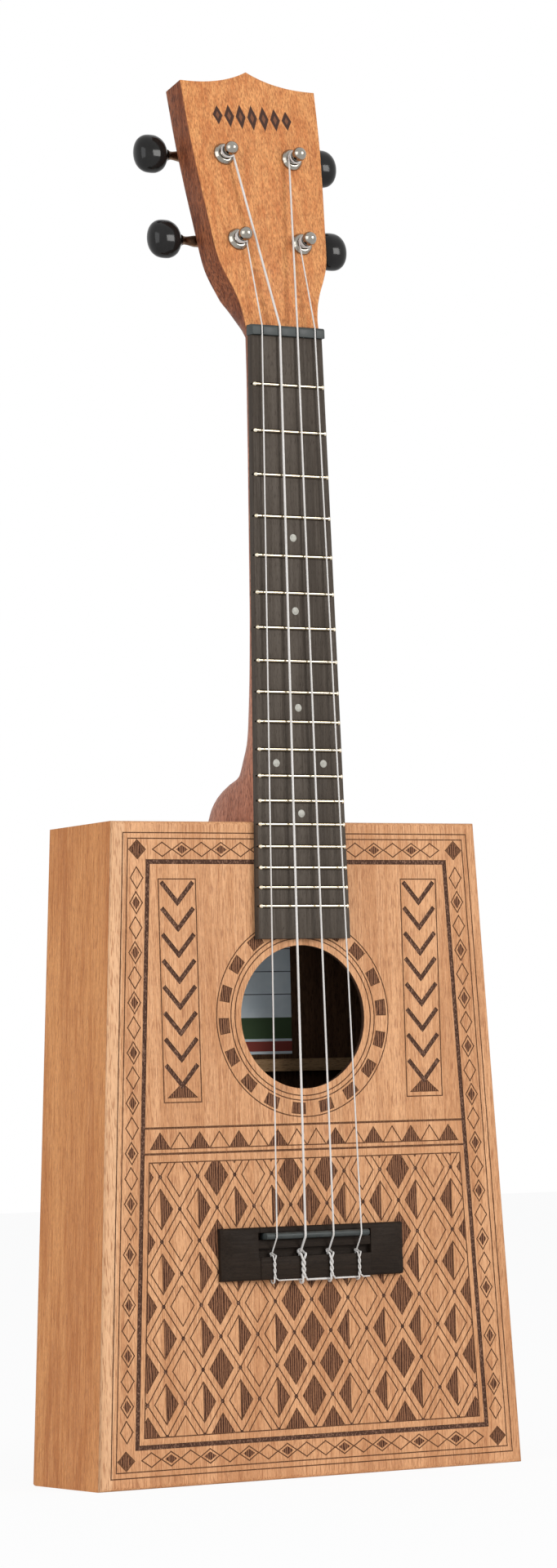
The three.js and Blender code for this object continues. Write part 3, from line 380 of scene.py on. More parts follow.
plainLooks = {
    "blackBone": {"colour": (0.026, 0.031, 0.03), "second": (0.045, 0.052, 0.05), "mottle": (0.004, 0.004, 0.004),
                  "rough": 0.4, "roughSpread": 0.14, "extra": {"Specular IOR Level": 0.3}},
    "fretEnd": {"colour": (0.82, 0.74, 0.58), "second": (0.66, 0.57, 0.42), "mottle": (0.002, 0.002, 0.002),
                "rough": 0.24, "roughSpread": 0.1, "metal": 1.0},
    "nickel": {"colour": (0.35, 0.325, 0.285), "second": (0.29, 0.268, 0.234), "mottle": (0.003, 0.003, 0.003),
               "rough": 0.12, "roughSpread": 0.08, "metal": 1.0},
    "bronze": {"colour": (0.22, 0.13, 0.075), "second": (0.1, 0.058, 0.036), "mottle": (0.002, 0.002, 0.002),
               "rough": 0.28, "roughSpread": 0.16, "metal": 1.0},
    "blackPlastic": {"colour": (0.009, 0.0085, 0.008), "second": (0.013, 0.0125, 0.012),
                     "mottle": (0.006, 0.006, 0.006), "rough": 0.11, "roughSpread": 0.04,
                     "extra": {"Specular IOR Level": 0.22}},
    "nylon": {"colour": (0.78, 0.75, 0.72), "second": (0.7, 0.67, 0.63), "mottle": (0.003, 0.003, 0.02),
              "rough": 0.25, "roughSpread": 0.1, "extra": {"Transmission Weight": 0.2, "IOR": 1.5}},
    "pearlDot": {"colour": (0.42, 0.41, 0.36), "second": (0.31, 0.3, 0.26), "mottle": (0.0012, 0.0012, 0.0012),
                 "rough": 0.3, "roughSpread": 0.1, "extra": {"Specular IOR Level": 0.25}},
    # Painted shade: near black for the walls of drilled holes
    "darkHole": {"colour": (0.012, 0.009, 0.007), "second": (0.02, 0.015, 0.011), "mottle": (0.001, 0.001, 0.001),
                 "rough": 0.7, "roughSpread": 0.1},
}

# Frets: a painted highlight along the top of the crown and a painted dark reflection down its sides
fretPaintedSheenLook = {"top": (0.6, 0.52, 0.38), "flank": (0.12, 0.092, 0.062), "crown": 0.95 * mm, "start": 0.9, "end": 0.985,
                 "rough": 0.26}


def fretMaterial(look):
    shader = Shader("fretMetal")
    height = (fingerboardLow.y - shader.parts(shader.place())[1]) / look["crown"]
    # Painted highlight on the top of the crown, painted reflection of the dark fingerboard down its sides
    paintedCrownSheen = shader.ramp(height, look["start"], look["end"])
    return shader.principled({
        "Base Color": shader.mix(paintedCrownSheen, look["flank"], look["top"]), "Metallic": 1.0, "Roughness": look["rough"],
    })


finishes = {name: plainMaterial(name, look) for name, look in plainLooks.items()}
finishes["fretMetal"] = fretMaterial(fretPaintedSheenLook)
finishes["boardWood"] = woodMaterial("boardWood", boardWoodLook, paintedHighlightLook)
finishes["sideWood"] = woodMaterial("sideWood", sideWoodLook)
finishes["endWood"] = woodMaterial("endWood", acrossGrain(sideWoodLook))
finishes["innerWood"] = woodMaterial("innerWood", innerWoodLook)
finishes["insideWood"] = woodMaterial("insideWood", insideShadeLook)
finishes["neckWood"] = neckMaterial()
finishes["fingerboardWood"] = woodMaterial("fingerboardWood", fingerboardLook)
finishes["bridgeWood"] = woodMaterial("bridgeWood", bridgeLook)
finishes["burntLine"] = burntMaterial("burntLine", "line", "lineLight", 0.5)
finishes["burntBar"] = burntMaterial("burntBar", "bar", "barLight", 0.48)
finishes["burntEdge"] = burntMaterial("burntEdge", "edge", "line", 0.55)
finishes["burntFill"] = ribbedMaterial()
print("materials made")


def dress(finish, *nodes):
    for node in nodes:
        for slot in frame["nodes"][node].material_slots:
            slot.material = finishes[finish]


frets = sorted(n for n in frame["nodes"] if n.startswith("fret_"))
dress("sideWood", "side_left", "side_right", "back_panel", "soundboard")
dress("endWood", "end_lower", "end_upper")
dress("innerWood", "neck_block", "tail_block", "front_lining", "back_lining")
dress("innerWood", "soundboard_brace", "back_brace", "bridge_patch")
dress("neckWood", "neck")
dress("fingerboardWood", "fingerboard")
dress("bridgeWood", "bridge")
dress("blackBone", "nut", "saddle")
dress("fretMetal", *frets)
for letter in stringLetters:
    dress("nickel", f"bushing_{letter}", f"post_{letter}", f"tuner_plate_{letter}")
    dress("bronze", f"worm_shaft_{letter}")
    dress("blackPlastic", f"button_{letter}")
    dress("nylon", f"string_{letter}")


def addPiece(name, mesh, body):
    made = bpy.data.objects.new(name, mesh)
    bpy.context.scene.collection.objects.link(made)
    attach(made, body)
    return made


class Skin:
    # Loose faces in metres, joined into one closed mesh where their corners meet
    def __init__(self, place=None):
        self.place = place or Matrix()
        self.faces = []

    def face(self, corners, finish, smooth=False):
        self.faces.append(([self.place @ Vector(c) for c in corners], finish, smooth))

    def loft(self, rings, finish, smooth=True, caps=True):
        for low, high in zip(rings, rings[1:]):
            for k in range(len(low)):
                after = (k + 1) % len(low)
                self.face((low[k], low[after], high[after], high[k]), finish, smooth)
        if caps:
            self.face(rings[0][::-1], finish)
            self.face(rings[-1], finish)

    def turned(self, profile, finish, sides=48, axis=1, flat=1):
        # A profile of (radius, place along the axis) in millimetres, turned round the axis
        rings = []
        for radius, along in profile:
            turns = [2 * math.pi * k / sides for k in range(sides)]
            ring = [(radius * math.cos(t) * mm, radius * math.sin(t) * mm) for t in turns]
            place = along * mm
            if axis == 0:
                rings.append([(place, a * flat, b) for a, b in ring])
            elif axis == 1:
                rings.append([(a, place, b) for a, b in ring])
            else:
                rings.append([(a, b, place) for a, b in ring])
        self.loft(rings, finish, caps=False)

    def prism(self, outline, low, high, finish, axis=1, inset=0):
        # A plane outline in millimetres pushed along an axis, its far edge eased by an inset
        centre = sum((Vector(p) for p in outline), Vector((0, 0))) / len(outline)
        eased = [Vector(p) + (centre - Vector(p)).normalized() * inset for p in outline]
        rings = []
        for points, place in ((outline, low), (outline, high - inset), (eased, high)):
            if inset == 0 and points is eased:
                continue
            if axis == 0:
                rings.append([(place * mm, a * mm, b * mm) for a, b in points])
            else:
                rings.append([(a * mm, place * mm, b * mm) for a, b in points])
        self.loft(rings, finish)

    def mesh(self, name, join=mm / 2000):
        mesh = bpy.data.meshes.new(name)
        names = sorted({finish for _, finish, _ in self.faces})
        for finish in names:
            mesh.materials.append(finishes[finish])
        shell = bmesh.new()
        for corners, finish, smooth in self.faces:
            made = shell.faces.new([shell.verts.new(c) for c in corners])
            made.material_index = names.index(finish)
            made.smooth = smooth
        bmesh.ops.remove_doubles(shell, verts=shell.verts, dist=join)
        bmesh.ops.recalc_face_normals(shell, faces=shell.faces)
        shell.to_mesh(mesh)
        shell.free()
        return mesh

    def piece(self, name, body, sharp=None):
        mesh = self.mesh(name)
        if sharp:
            markSharp(mesh, sharp)
        return addPiece(name, mesh, body)


def markSharp(mesh, angle):
    shell = bmesh.new()
    shell.from_mesh(mesh)
    for edge in shell.edges:
        edge.smooth = len(edge.link_faces) == 2 and edge.calc_face_angle(0) < math.radians(angle)
    for face in shell.faces:
        face.smooth = True
    shell.to_mesh(mesh)
    shell.free()


def softened(node, name, width, where=None, inside=None, angle=30, steps=3, smooth=40):
    # A copy of a CAD node with the sharp edges at a place eased by a width in millimetres
    mesh = frame["nodes"][node].data.copy()
    mesh.name = name
    shell = bmesh.new()
    shell.from_mesh(mesh)
    bmesh.ops.remove_doubles(shell, verts=shell.verts, dist=mm / 200)
    bmesh.ops.dissolve_limit(shell, angle_limit=math.radians(1), verts=shell.verts, edges=shell.edges)
    sharp = [e for e in shell.edges if len(e.link_faces) == 2 and e.calc_face_angle(0) > math.radians(angle)]
    if where:
        sharp = [e for e in sharp if all(where(v.co) for v in e.verts)]
    if width:
        bmesh.ops.bevel(shell, geom=sharp, offset=width * mm, offset_type="OFFSET", segments=steps,
                        profile=0.5, affect="EDGES", clamp_overlap=True)
    # Painted shade: faces turned the given way get the darker inside finish
    if inside:
        mesh.materials.append(finishes["insideWood"])
        for face in shell.faces:
            if face.normal.dot(Vector(inside)) > 0.9:
                face.material_index = 1
    shell.to_mesh(mesh)
    shell.free()
    markSharp(mesh, smooth)
    made = addPiece(name, mesh, "instrument")
    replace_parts(made, node)
    return made


def carved(mesh, *tools):
    # The mesh with each tool mesh cut away from it
    body = bpy.data.objects.new("carved", mesh)
    helpers = [bpy.data.objects.new("tool", tool) for tool in tools]
    for each in [body, *helpers]:
        bpy.context.scene.collection.objects.link(each)
    for helper in helpers:
        change = body.modifiers.new("cut", "BOOLEAN")
        change.operation = "DIFFERENCE"
        change.solver = "EXACT"
        change.material_mode = "TRANSFER"
        change.object = helper
    result = bpy.data.meshes.new_from_object(body.evaluated_get(bpy.context.evaluated_depsgraph_get()))
    for each in [body, *helpers]:
        bpy.data.objects.remove(each)
    return result


def rod(radius, low, high, finish, axis=1, sides=24, place=None):
    skin = Skin(place)
    skin.turned([(0, low), (radius, low), (radius, high), (0, high)], finish, sides, axis)
    return skin.mesh("rod")


def smoothRows(rows, step):
    # The rows of a table, closer together along its first column, without overshoot
    gaps = [b[0] - a[0] for a, b in zip(rows, rows[1:])]
    slopes = [[(q - p) / gap for p, q in zip(a, b)] for a, b, gap in zip(rows, rows[1:], gaps)]
    ways = [slopes[0]]
    for before, after in zip(slopes, slopes[1:]):
        ways.append([2 * p * q / (p + q) if p * q > 0 else 0 for p, q in zip(before, after)])
    ways.append(slopes[-1])
    made = []
    for k, gap in enumerate(gaps):
        steps = max(1, math.ceil(abs(gap) / step))
        for j in range(steps):
            t = j / steps
            low, high = 2 * t ** 3 - 3 * t ** 2 + 1, 3 * t ** 2 - 2 * t ** 3
            start, end = (t ** 3 - 2 * t ** 2 + t) * gap, (t ** 3 - t ** 2) * gap
            columns = zip(rows[k], rows[k + 1], ways[k], ways[k + 1])
            made.append([low * p + high * q + start * v + end * w for p, q, v, w in columns])
    return made + [rows[-1]]


def flowing(points, step, longest=6):
    # A smooth line through points in millimetres, with a stay beside each end of a long run
    held = [points[0]]
    for a, b in zip(points, points[1:]):
        run = (b - a).length
        if run > longest:
            held += [a.lerp(b, 1 / run), b.lerp(a, 1 / run)]
        if run > 0.01:
            held.append(b)
    gaps = [(b - a).length for a, b in zip(held, held[1:])]
    slopes = [(b - a) / gap for a, b, gap in zip(held, held[1:], gaps)]
    ways = [slopes[0]]
    for k in range(1, len(gaps)):
        ways.append((slopes[k - 1] * gaps[k] + slopes[k] * gaps[k - 1]) / (gaps[k - 1] + gaps[k]))
    ways.append(slopes[-1])
    made = []
    for k, gap in enumerate(gaps):
        steps = 1 if gap > longest else max(1, math.ceil(gap / step))
        for j in range(steps):
            t = j / steps
            low, high = 2 * t ** 3 - 3 * t ** 2 + 1, 3 * t ** 2 - 2 * t ** 3
            start, end = (t ** 3 - 2 * t ** 2 + t) * gap, (t ** 3 - t ** 2) * gap
            made.append(held[k] * low + held[k + 1] * high + ways[k] * start + ways[k + 1] * end)
    return made + [held[-1]]


class Growth:
    # A Geometry Nodes tree with its sizes as named inputs
    def __init__(self, name, inputs):
        self.tree = bpy.data.node_groups.new(name, "GeometryNodeTree")
        for flow in ("INPUT", "OUTPUT"):
            self.tree.interface.new_socket("Geometry", in_out=flow, socket_type="NodeSocketGeometry")
        for title, kind in inputs.items():
            self.tree.interface.new_socket(title, in_out="INPUT", socket_type="NodeSocket" + kind)
        self.given = self.tree.nodes.new("NodeGroupInput").outputs

    def node(self, kind, settings=None, sockets=None, out=0):
        made = self.tree.nodes.new(kind)
        for name, value in (settings or {}).items():
            setattr(made, name, value)
        for name, value in (sockets or {}).items():
            if isinstance(value, bpy.types.NodeSocket):
                self.tree.links.new(value, made.inputs[name])
            else:
                made.inputs[name].default_value = value
        return made.outputs[out]

    def end(self, geometry):
        plain = self.node("GeometryNodeRealizeInstances", sockets={"Geometry": geometry})
        dressed = self.node("GeometryNodeSetMaterial", sockets={"Geometry": plain, "Material": self.given["Material"]})
        self.tree.links.new(dressed, self.tree.nodes.new("NodeGroupOutput").inputs[0])
        return self.tree


def makeTubeTree():
    # A round tube along each line, as thick as its points say, pressed flat behind the deepest place
    growth = Growth("tubeOnLine", {"Material": "Material", "Sides": "Int", "Deepest": "Float"})
    thickness = growth.node("GeometryNodeInputNamedAttribute", {"data_type": "FLOAT"}, {"Name": "thickness"})
    path = growth.node("GeometryNodeMeshToCurve", sockets={"Mesh": growth.given["Geometry"]})
    sizes = {"Resolution": growth.given["Sides"], "Radius": 1.0}
    ring = growth.node("GeometryNodeCurvePrimitiveCircle", {"mode": "RADIUS"}, sizes)
    sizes = {"Curve": path, "Profile Curve": ring, "Scale": thickness, "Fill Caps": True}
    tube = growth.node("GeometryNodeCurveToMesh", sockets=sizes)
    place = growth.node("GeometryNodeInputPosition")
    parts = growth.node("ShaderNodeSeparateXYZ", sockets={"Vector": place}).node.outputs
    depth = growth.node("ShaderNodeMath", {"operation": "MINIMUM"}, {0: parts["Y"], 1: growth.given["Deepest"]})
    pressed = growth.node("ShaderNodeCombineXYZ", sockets={"X": parts["X"], "Y": depth, "Z": parts["Z"]})
    return growth.end(growth.node("GeometryNodeSetPosition", sockets={"Geometry": tube, "Position": pressed}))


def makeCopyTree():
    # A copy of one shape on each point, turned as the point says
    growth = Growth("copyOnPoints", {"Material": "Material", "Shape": "Object", "Size": "Float"})
    turn = growth.node("GeometryNodeInputNamedAttribute", {"data_type": "FLOAT_VECTOR"}, {"Name": "turn"})
    turn = growth.node("FunctionNodeEulerToRotation", sockets={0: turn})
    sizes = {"Object": growth.given["Shape"], "As Instance": True}
    shape = growth.node("GeometryNodeObjectInfo", {"transform_space": "ORIGINAL"}, sizes, 4)
    sizes = {"Points": growth.given["Geometry"], "Instance": shape, "Rotation": turn, "Scale": growth.given["Size"]}
    return growth.end(growth.node("GeometryNodeInstanceOnPoints", sockets=sizes))


tubeTree = makeTubeTree()
copyTree = makeCopyTree()


def grown(name, mesh, tree, inputs, sharp=40):
    # The plain mesh that a tree makes of loose points or lines
    seed = bpy.data.objects.new(name, mesh)
    bpy.context.scene.collection.objects.link(seed)
    change = seed.modifiers.new(name, "NODES")
    change.node_group = tree
    for item in tree.interface.items_tree:
        if item.in_out == "INPUT" and item.name in inputs:
            change[item.identifier] = inputs[item.name]
    result = bpy.data.meshes.new_from_object(seed.evaluated_get(bpy.context.evaluated_depsgraph_get()))
    seed.modifiers.remove(change)
    bpy.data.objects.remove(seed)
    result.name = name
    markSharp(result, sharp)
    return result


def tubes(name, lines, finish, sides=12, deepest=1.0):
    # Each line is a list of (place, radius) in millimetres
    mesh = bpy.data.meshes.new(name)
    places, edges, radii = [], [], []
    for points in lines:
        edges += [(len(places) + k, len(places) + k + 1) for k in range(len(points) - 1)]
        places += [place * mm for place, _ in points]
        radii += [radius * mm for _, radius in points]
    mesh.from_pydata(places, edges, [])
    mesh.attributes.new("thickness", "FLOAT", "POINT").data.foreach_set("value", radii)
    return grown(name, mesh, tubeTree, {"Material": finishes[finish], "Sides": sides, "Deepest": deepest})


def copies(name, shape, places, finish, size=1.0):
    # Each place is a matrix
    mesh = bpy.data.meshes.new(name)
    mesh.from_pydata([place.translation for place in places], [], [])
    turns = [angle for place in places for angle in place.to_euler()]
    mesh.attributes.new("turn", "FLOAT_VECTOR", "POINT").data.foreach_set("vector", turns)
    helper = bpy.data.objects.new("shape", shape)
    bpy.context.scene.collection.objects.link(helper)
    made = grown(name, mesh, copyTree, {"Material": finishes[finish], "Shape": helper, "Size": size})
    bpy.data.objects.remove(helper)
    return made


# The soundboard's plan, in millimetres from the middle of its lower edge
boardCorners = [corner.co for corner in frame["nodes"]["soundboard"].data.vertices]
holeCorners = [c for c in boardCorners if mm < c.z < boxHeight - mm]
holeLow = min(c.z for c in holeCorners)
holeHigh = max(c.z for c in holeCorners)
board = {
    "thickness": (boardHigh.y - boardLow.y) / mm,
    "height": boxHeight / mm,
    "lowHalf": boardHigh.x / mm,
    "topHalf": max(c.x for c in boardCorners if c.z > boxHeight - mm) / mm,
    "round": 1.8,
    "roundSteps": 6,
    "holeCentre": (holeLow + holeHigh) / 2 / mm,
    "holeRadius": (holeHigh - holeLow) / 2 / mm,
    "holeSides": 96,
    "depths": (0, 0.15, 0.2, 0.3),
    "finishes": ("boardWood", "burntFill", "burntLine", "burntBar"),
}
fill = 1
line = 2
bar = 3


def halfAt(z, inset=0):
    return board["lowHalf"] + (board["topHalf"] - board["lowHalf"]) * z / board["height"] - inset


def boardLoop(inset, low=None, high=None):
    low = inset if low is None else low
    high = board["height"] - inset if high is None else high
    lowHalf, highHalf = halfAt(low, inset), halfAt(high, inset)
    return [(-lowHalf, low), (lowHalf, low), (highHalf, high), (-highHalf, high)]


def circle(centre, radius, sides):
    turns = [2 * math.pi * k / sides for k in range(sides)]
    return [(centre[0] + radius * math.cos(t), centre[1] + radius * math.sin(t)) for t in turns]


def lozenge(x, z, wide, tall):
    return [(x + wide, z), (x, z + tall), (x - wide, z), (x, z - tall)]


class Engraving:
    # Closed shapes in the plan, each cut to a level, with its mirror image
    def __init__(self):
        self.corners = []
        self.loops = []
        self.levels = []
        self.fields = []

    def cut(self, points, level, field=None, mirrored=True):
        for side in [points, [(-x, z) for x, z in points]][:2 if mirrored else 1]:
            turn = sum(a[0] * b[1] - b[0] * a[1] for a, b in zip(side, side[1:] + side[:1]))
            start = len(self.corners)
            self.corners += [Vector(p) for p in (side if turn > 0 else side[::-1])]
            self.loops.append(list(range(start, len(self.corners))))
            self.levels.append(level)
            self.fields.append(field)
        return len(self.loops) - 1

    def stroke(self, start, end, width, level=line, **options):
        start, end = Vector(start), Vector(end)
        along = (end - start).normalized() * width / 2
        side = Vector((-along.y, along.x))
        points = [start - along + side, start - along - side, end + along - side, end + along + side]
        self.cut([tuple(p) for p in points], level, **options)

    def outline(self, points, width, **options):
        for start, end in zip(points, points[1:] + points[:1]):
            self.stroke(start, end, width, **options)

    def filled(self, points, width, **options):
        self.cut(points, fill, **options)
        self.outline(points, width, **options)

    def ring(self, centre, inner, outer, level, start=0, end=360, steps=72):
        for k in range(steps):
            turns = [math.radians(start + (end - start) * share / steps) for share in (k, k + 1)]
            sides = [[(centre[0] + r * math.cos(t), centre[1] + r * math.sin(t)) for t in turns] for r in (inner, outer)]
            self.cut(sides[0] + sides[1][::-1], level, mirrored=False)

    def triangles(self):
        # Flat triangles of the plate as (three corners, level), leaving the hole out
        plate = self.cut(boardLoop(board["round"]), 0, mirrored=False)
        hole = self.cut(circle((0, board["holeCentre"]), board["holeRadius"], board["holeSides"]), 0, mirrored=False)
        made = delaunay_2d_cdt(self.corners, [], self.loops, 0, mm / 100, True)
        found = []
        for triangle, owners in zip(made[2], made[5]):
            if plate not in owners or hole in owners:
                continue
            inside = [k for k in owners if self.fields[k] is None or self.fields[k] in owners]
            found.append((triangle, max(self.levels[k] for k in inside)))
        return made[0], found


# A pattern of lozenges, rings, chevrons and lattice, in millimetres
engraving = {
    "fine": 0.5, "edge": 0.4, "medium": 0.9, "bold": 2,
    "frameInsets": (5, 7.4), "boldInset": 17.2, "chainInset": 12,
    "lozenge": (3, 4.6), "lozengeCount": 23, "lozengeCountAcross": (17, 14),
    "rosetteRings": (33.6, 35.6, 42.6), "rosetteBand": (36.6, 41.6), "rosetteCount": 36,
    "column": (51, 69), "columnLow": 160, "columnHigh": 254, "chevronPitch": 11, "chevronDrop": 8,
    "bandLow": 138.6, "bandHigh": 149.4, "bandPitch": 9,
    "fieldInset": 20.5, "fieldLow": 21, "fieldHigh": 135,
    "lattice": (9, 13.5), "innerShare": 0.62, "dot": 0.9, "dotSides": 10,
}


def cutFrame(plan, look):
    for inset in look["frameInsets"]:
        plan.outline(boardLoop(inset), look["fine"], mirrored=False)
    plan.outline(boardLoop(look["boldInset"]), look["bold"], level=bar, mirrored=False)
    inset = look["chainInset"]
    wide, tall = look["lozenge"]
    share = look["innerShare"]
    low, high = 2 * inset, board["height"] - 2 * inset
    for k in range(look["lozengeCount"]):
        z = low + (high - low) * k / (look["lozengeCount"] - 1)
        plan.outline(lozenge(halfAt(z, inset), z, wide, tall), look["fine"])
        if k % 2:
            plan.cut(lozenge(halfAt(z, inset), z, wide * share, tall * share), fill)
    for z, count in zip((inset, board["height"] - inset), look["lozengeCountAcross"]):
        reach = halfAt(z, 2 * inset)
        for k in range(count // 2 + 1):
            x = reach * (1 - 2 * k / count)
            plan.outline(lozenge(x, z, tall, wide), look["fine"])
            if k % 2:
                plan.cut(lozenge(x, z, tall * share, wide * share), fill)
        plan.filled(lozenge(halfAt(z, inset), z, tall * 0.8, tall * 0.8), look["medium"])


def cutRosette(plan, look):
    centre = (0, board["holeCentre"])
    inner, outer = look["rosetteBand"]
    for radius in look["rosetteRings"]:
        plan.ring(centre, radius - look["fine"] / 2, radius + look["fine"] / 2, line)
    step = 360 / look["rosetteCount"]
    for k in range(0, look["rosetteCount"], 2):
        plan.ring(centre, inner, outer, fill, k * step, (k + 1) * step, 3)
        trim = look["edge"] / inner * 57
        plan.ring(centre, inner, outer, line, k * step, k * step + trim, 1)
        plan.ring(centre, inner, outer, line, (k + 1) * step - trim, (k + 1) * step, 1)
        plan.ring(centre, inner, inner + look["edge"], line, k * step, (k + 1) * step, 3)
        plan.ring(centre, outer - look["edge"], outer, line, k * step, (k + 1) * step, 3)


def cutColumns(plan, look):
    left, right = look["column"]
    middle = (left + right) / 2
    low, high = look["columnLow"], look["columnHigh"]
    plan.outline([(left, low), (right, low), (right, high), (left, high)], look["fine"])
    edge = look["bold"]
    z = high - edge
    while z - look["chevronDrop"] > low + edge:
        tip = (middle, z - look["chevronDrop"])
        plan.stroke((left + edge, z), tip, look["bold"], bar)
        plan.stroke(tip, (right - edge, z), look["bold"], bar)
        z -= look["chevronPitch"]
    foot = [(left + edge, low + edge), (right - edge, low + edge), (middle, low + look["chevronDrop"])]
    plan.filled(foot, look["edge"])


def cutBand(plan, look):
    low, high = look["bandLow"], look["bandHigh"]
    for z in (low, high):
        reach = halfAt(z, look["boldInset"])
        plan.stroke((-reach, z), (reach, z), look["medium"], mirrored=False)
    reach = halfAt(high, look["fieldInset"])
    count = int(reach / look["bandPitch"])
    pitch = reach / count
    margin = look["bold"]
    for k in range(count):
        x = (k + 0.5) * pitch
        shape = [(x - pitch / 2, low + margin), (x + pitch / 2, low + margin), (x, high - margin)]
        if k % 2:
            plan.filled(shape, look["edge"])
        else:
            plan.outline(shape, look["fine"])


def cutLattice(plan, look):
    low, high = look["fieldLow"], look["fieldHigh"]
    wide, tall = look["lattice"]
    bounds = boardLoop(look["fieldInset"], low, high)
    field = plan.cut(bounds, 0, mirrored=False)
    plan.outline(bounds, look["fine"], mirrored=False)
    rows = int((high - low) / tall) + 1
    reach = int(board["lowHalf"] / wide) + rows
    for k in range(-reach, reach):
        foot = 2 * wide * k
        plan.stroke((foot, low), (foot + rows * wide, low + rows * tall), look["fine"], field=field)
    share = look["innerShare"]
    for row in range(rows + 1):
        for column in range(reach):
            x, z = wide * column, low + tall * row
            if (row + column) % 2 == 0:
                plan.cut(circle((x, z), look["dot"], look["dotSides"]), bar, field=field)
                continue
            shape = lozenge(x, z, wide * share, tall * share)
            if row % 2 == 0 and column % 4 == 1:
                plan.filled(shape, look["edge"], field=field)
            elif row % 2:
                plan.filled(shape[1:], look["edge"], field=field)
            plan.outline(shape, look["fine"], field=field)


def makeSoundboard():
    plan = Engraving()
    for cutPart in (cutFrame, cutRosette, cutColumns, cutBand, cutLattice):
        cutPart(plan, engraving)
    corners, triangles = plan.triangles()
    skin = Skin()

    def at(point, depth):
        return Vector((point[0] * mm, frontY + depth * mm, point[1] * mm))

    owners = {}
    for triangle, level in triangles:
        depth = board["depths"][level]
        skin.face([at(corners[k], depth) for k in triangle], board["finishes"][level])
        for a, b in zip(triangle, triangle[1:] + triangle[:1]):
            owners.setdefault((min(a, b), max(a, b)), []).append(level)
    for (a, b), levels in owners.items():
        if len(levels) == 2 and levels[0] != levels[1]:
            near, far = sorted(board["depths"][level] for level in levels)
            sides = [at(corners[a], near), at(corners[b], near), at(corners[b], far), at(corners[a], far)]
            skin.face(sides, "burntEdge")
    turns = [math.pi / 2 * k / board["roundSteps"] for k in range(board["roundSteps"] + 1)]
    insets = [board["round"] * (1 - math.sin(t)) for t in turns]
    depths = [board["round"] * (1 - math.cos(t)) for t in turns]
    rings = [[at(p, depth) for p in boardLoop(inset)] for inset, depth in zip(insets, depths)]
    skin.loft(rings, "boardWood", caps=False)
    deep = board["thickness"]
    skin.loft([rings[-1], [at(p, deep) for p in boardLoop(0)]], "sideWood", smooth=False, caps=False)
    hole = circle((0, board["holeCentre"]), board["holeRadius"], board["holeSides"])
    skin.loft([[at(p, 0) for p in hole], [at(p, deep) for p in hole]], "burntEdge", caps=False)
    back = [Vector(p) for p in boardLoop(0) + hole]
    loops = [list(range(4)), list(range(4, len(back)))]
    made = delaunay_2d_cdt(back, [], loops, 0, mm / 100, True)
    # The back of the plate faces into the box and gets the painted shade of the inside finish
    for triangle, inside in zip(made[2], made[5]):
        if inside == [0]:
            skin.face([at(made[0][k], deep) for k in triangle], "insideWood")
    return skin.piece("engraved_soundboard", "instrument")


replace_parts(makeSoundboard(), "soundboard")
print("soundboard made")

# Box: its back edge is eased, and its inner faces are given a darker finish as painted shade
softened("back_panel", "back_panel_eased", 0.9, lambda p: p.y > backHigh.y - 5 * mm, (0, -1, 0))
softened("side_left", "side_left_dressed", 0, inside=(1, 0, 0))
softened("side_right", "side_right_dressed", 0, inside=(-1, 0, 0))
softened("end_upper", "end_upper_dressed", 0, inside=(0, 0, -1))
softened("end_lower", "end_lower_dressed", 0, inside=(0, 0, 1))

# Label inside the back, seen through the hole: plain paper with ruled lines and two bands
labelLook = {
    "left": -28, "right": 27, "low": 180.4, "high": 255, "thickness": 0.15, "soft": 0.12,
    "paper": (0.84, 0.93, 0.97), "second": (0.74, 0.84, 0.89),
    "bands": [
        (181.6, 186, (0.3, 0.06, 0.045)), (187.1, 196.4, (0.06, 0.1, 0.045)),
        (206.4, 206.8, (0.1, 0.12, 0.13)), (216.4, 216.8, (0.1, 0.12, 0.13)), (226.4, 226.8, (0.1, 0.12, 0.13)),
    ],
}


def makeLabel(look):
    shader = Shader("paperLabel")
    mottle = shader.noise((0.008, 0.008, 0.008), detail=4, rough=0.6)
    colour = shader.mix(shader.ramp(mottle, 0.3, 0.7), look["paper"], look["second"])
    height = shader.parts(shader.place())[2] / mm
    for low, high, band in look["bands"]:
        soft = look["soft"]
        rise = shader.ramp(height, low - soft, low + soft) * shader.ramp(height, high - soft, high + soft, 1, 0)
        colour = shader.mix(rise, colour, band)
    finishes["paperLabel"] = shader.principled({"Base Color": colour, "Roughness": 0.7, "Specular IOR Level": 0.2})
    innerFaces = [v.co for v in frame["nodes"]["back_panel"].data.vertices]
    lowDepth = min(c.y for c in innerFaces if c.z < mm)
    topDepth = min(c.y for c in innerFaces if c.z > boxHeight - mm)

    def corner(x, z, proud):
        depth = lowDepth + (topDepth - lowDepth) * z * mm / boxHeight
        return (x * mm, depth - proud * mm, z * mm)

    spots = [(look["left"], look["low"]), (look["right"], look["low"]),
             (look["right"], look["high"]), (look["left"], look["high"])]
    skin = Skin()
    skin.loft([[corner(x, z, proud) for x, z in spots] for proud in (0.02, look["thickness"])], "paperLabel", False)
    skin.piece("inner_label", "instrument")


makeLabel(labelLook)
print("box made")

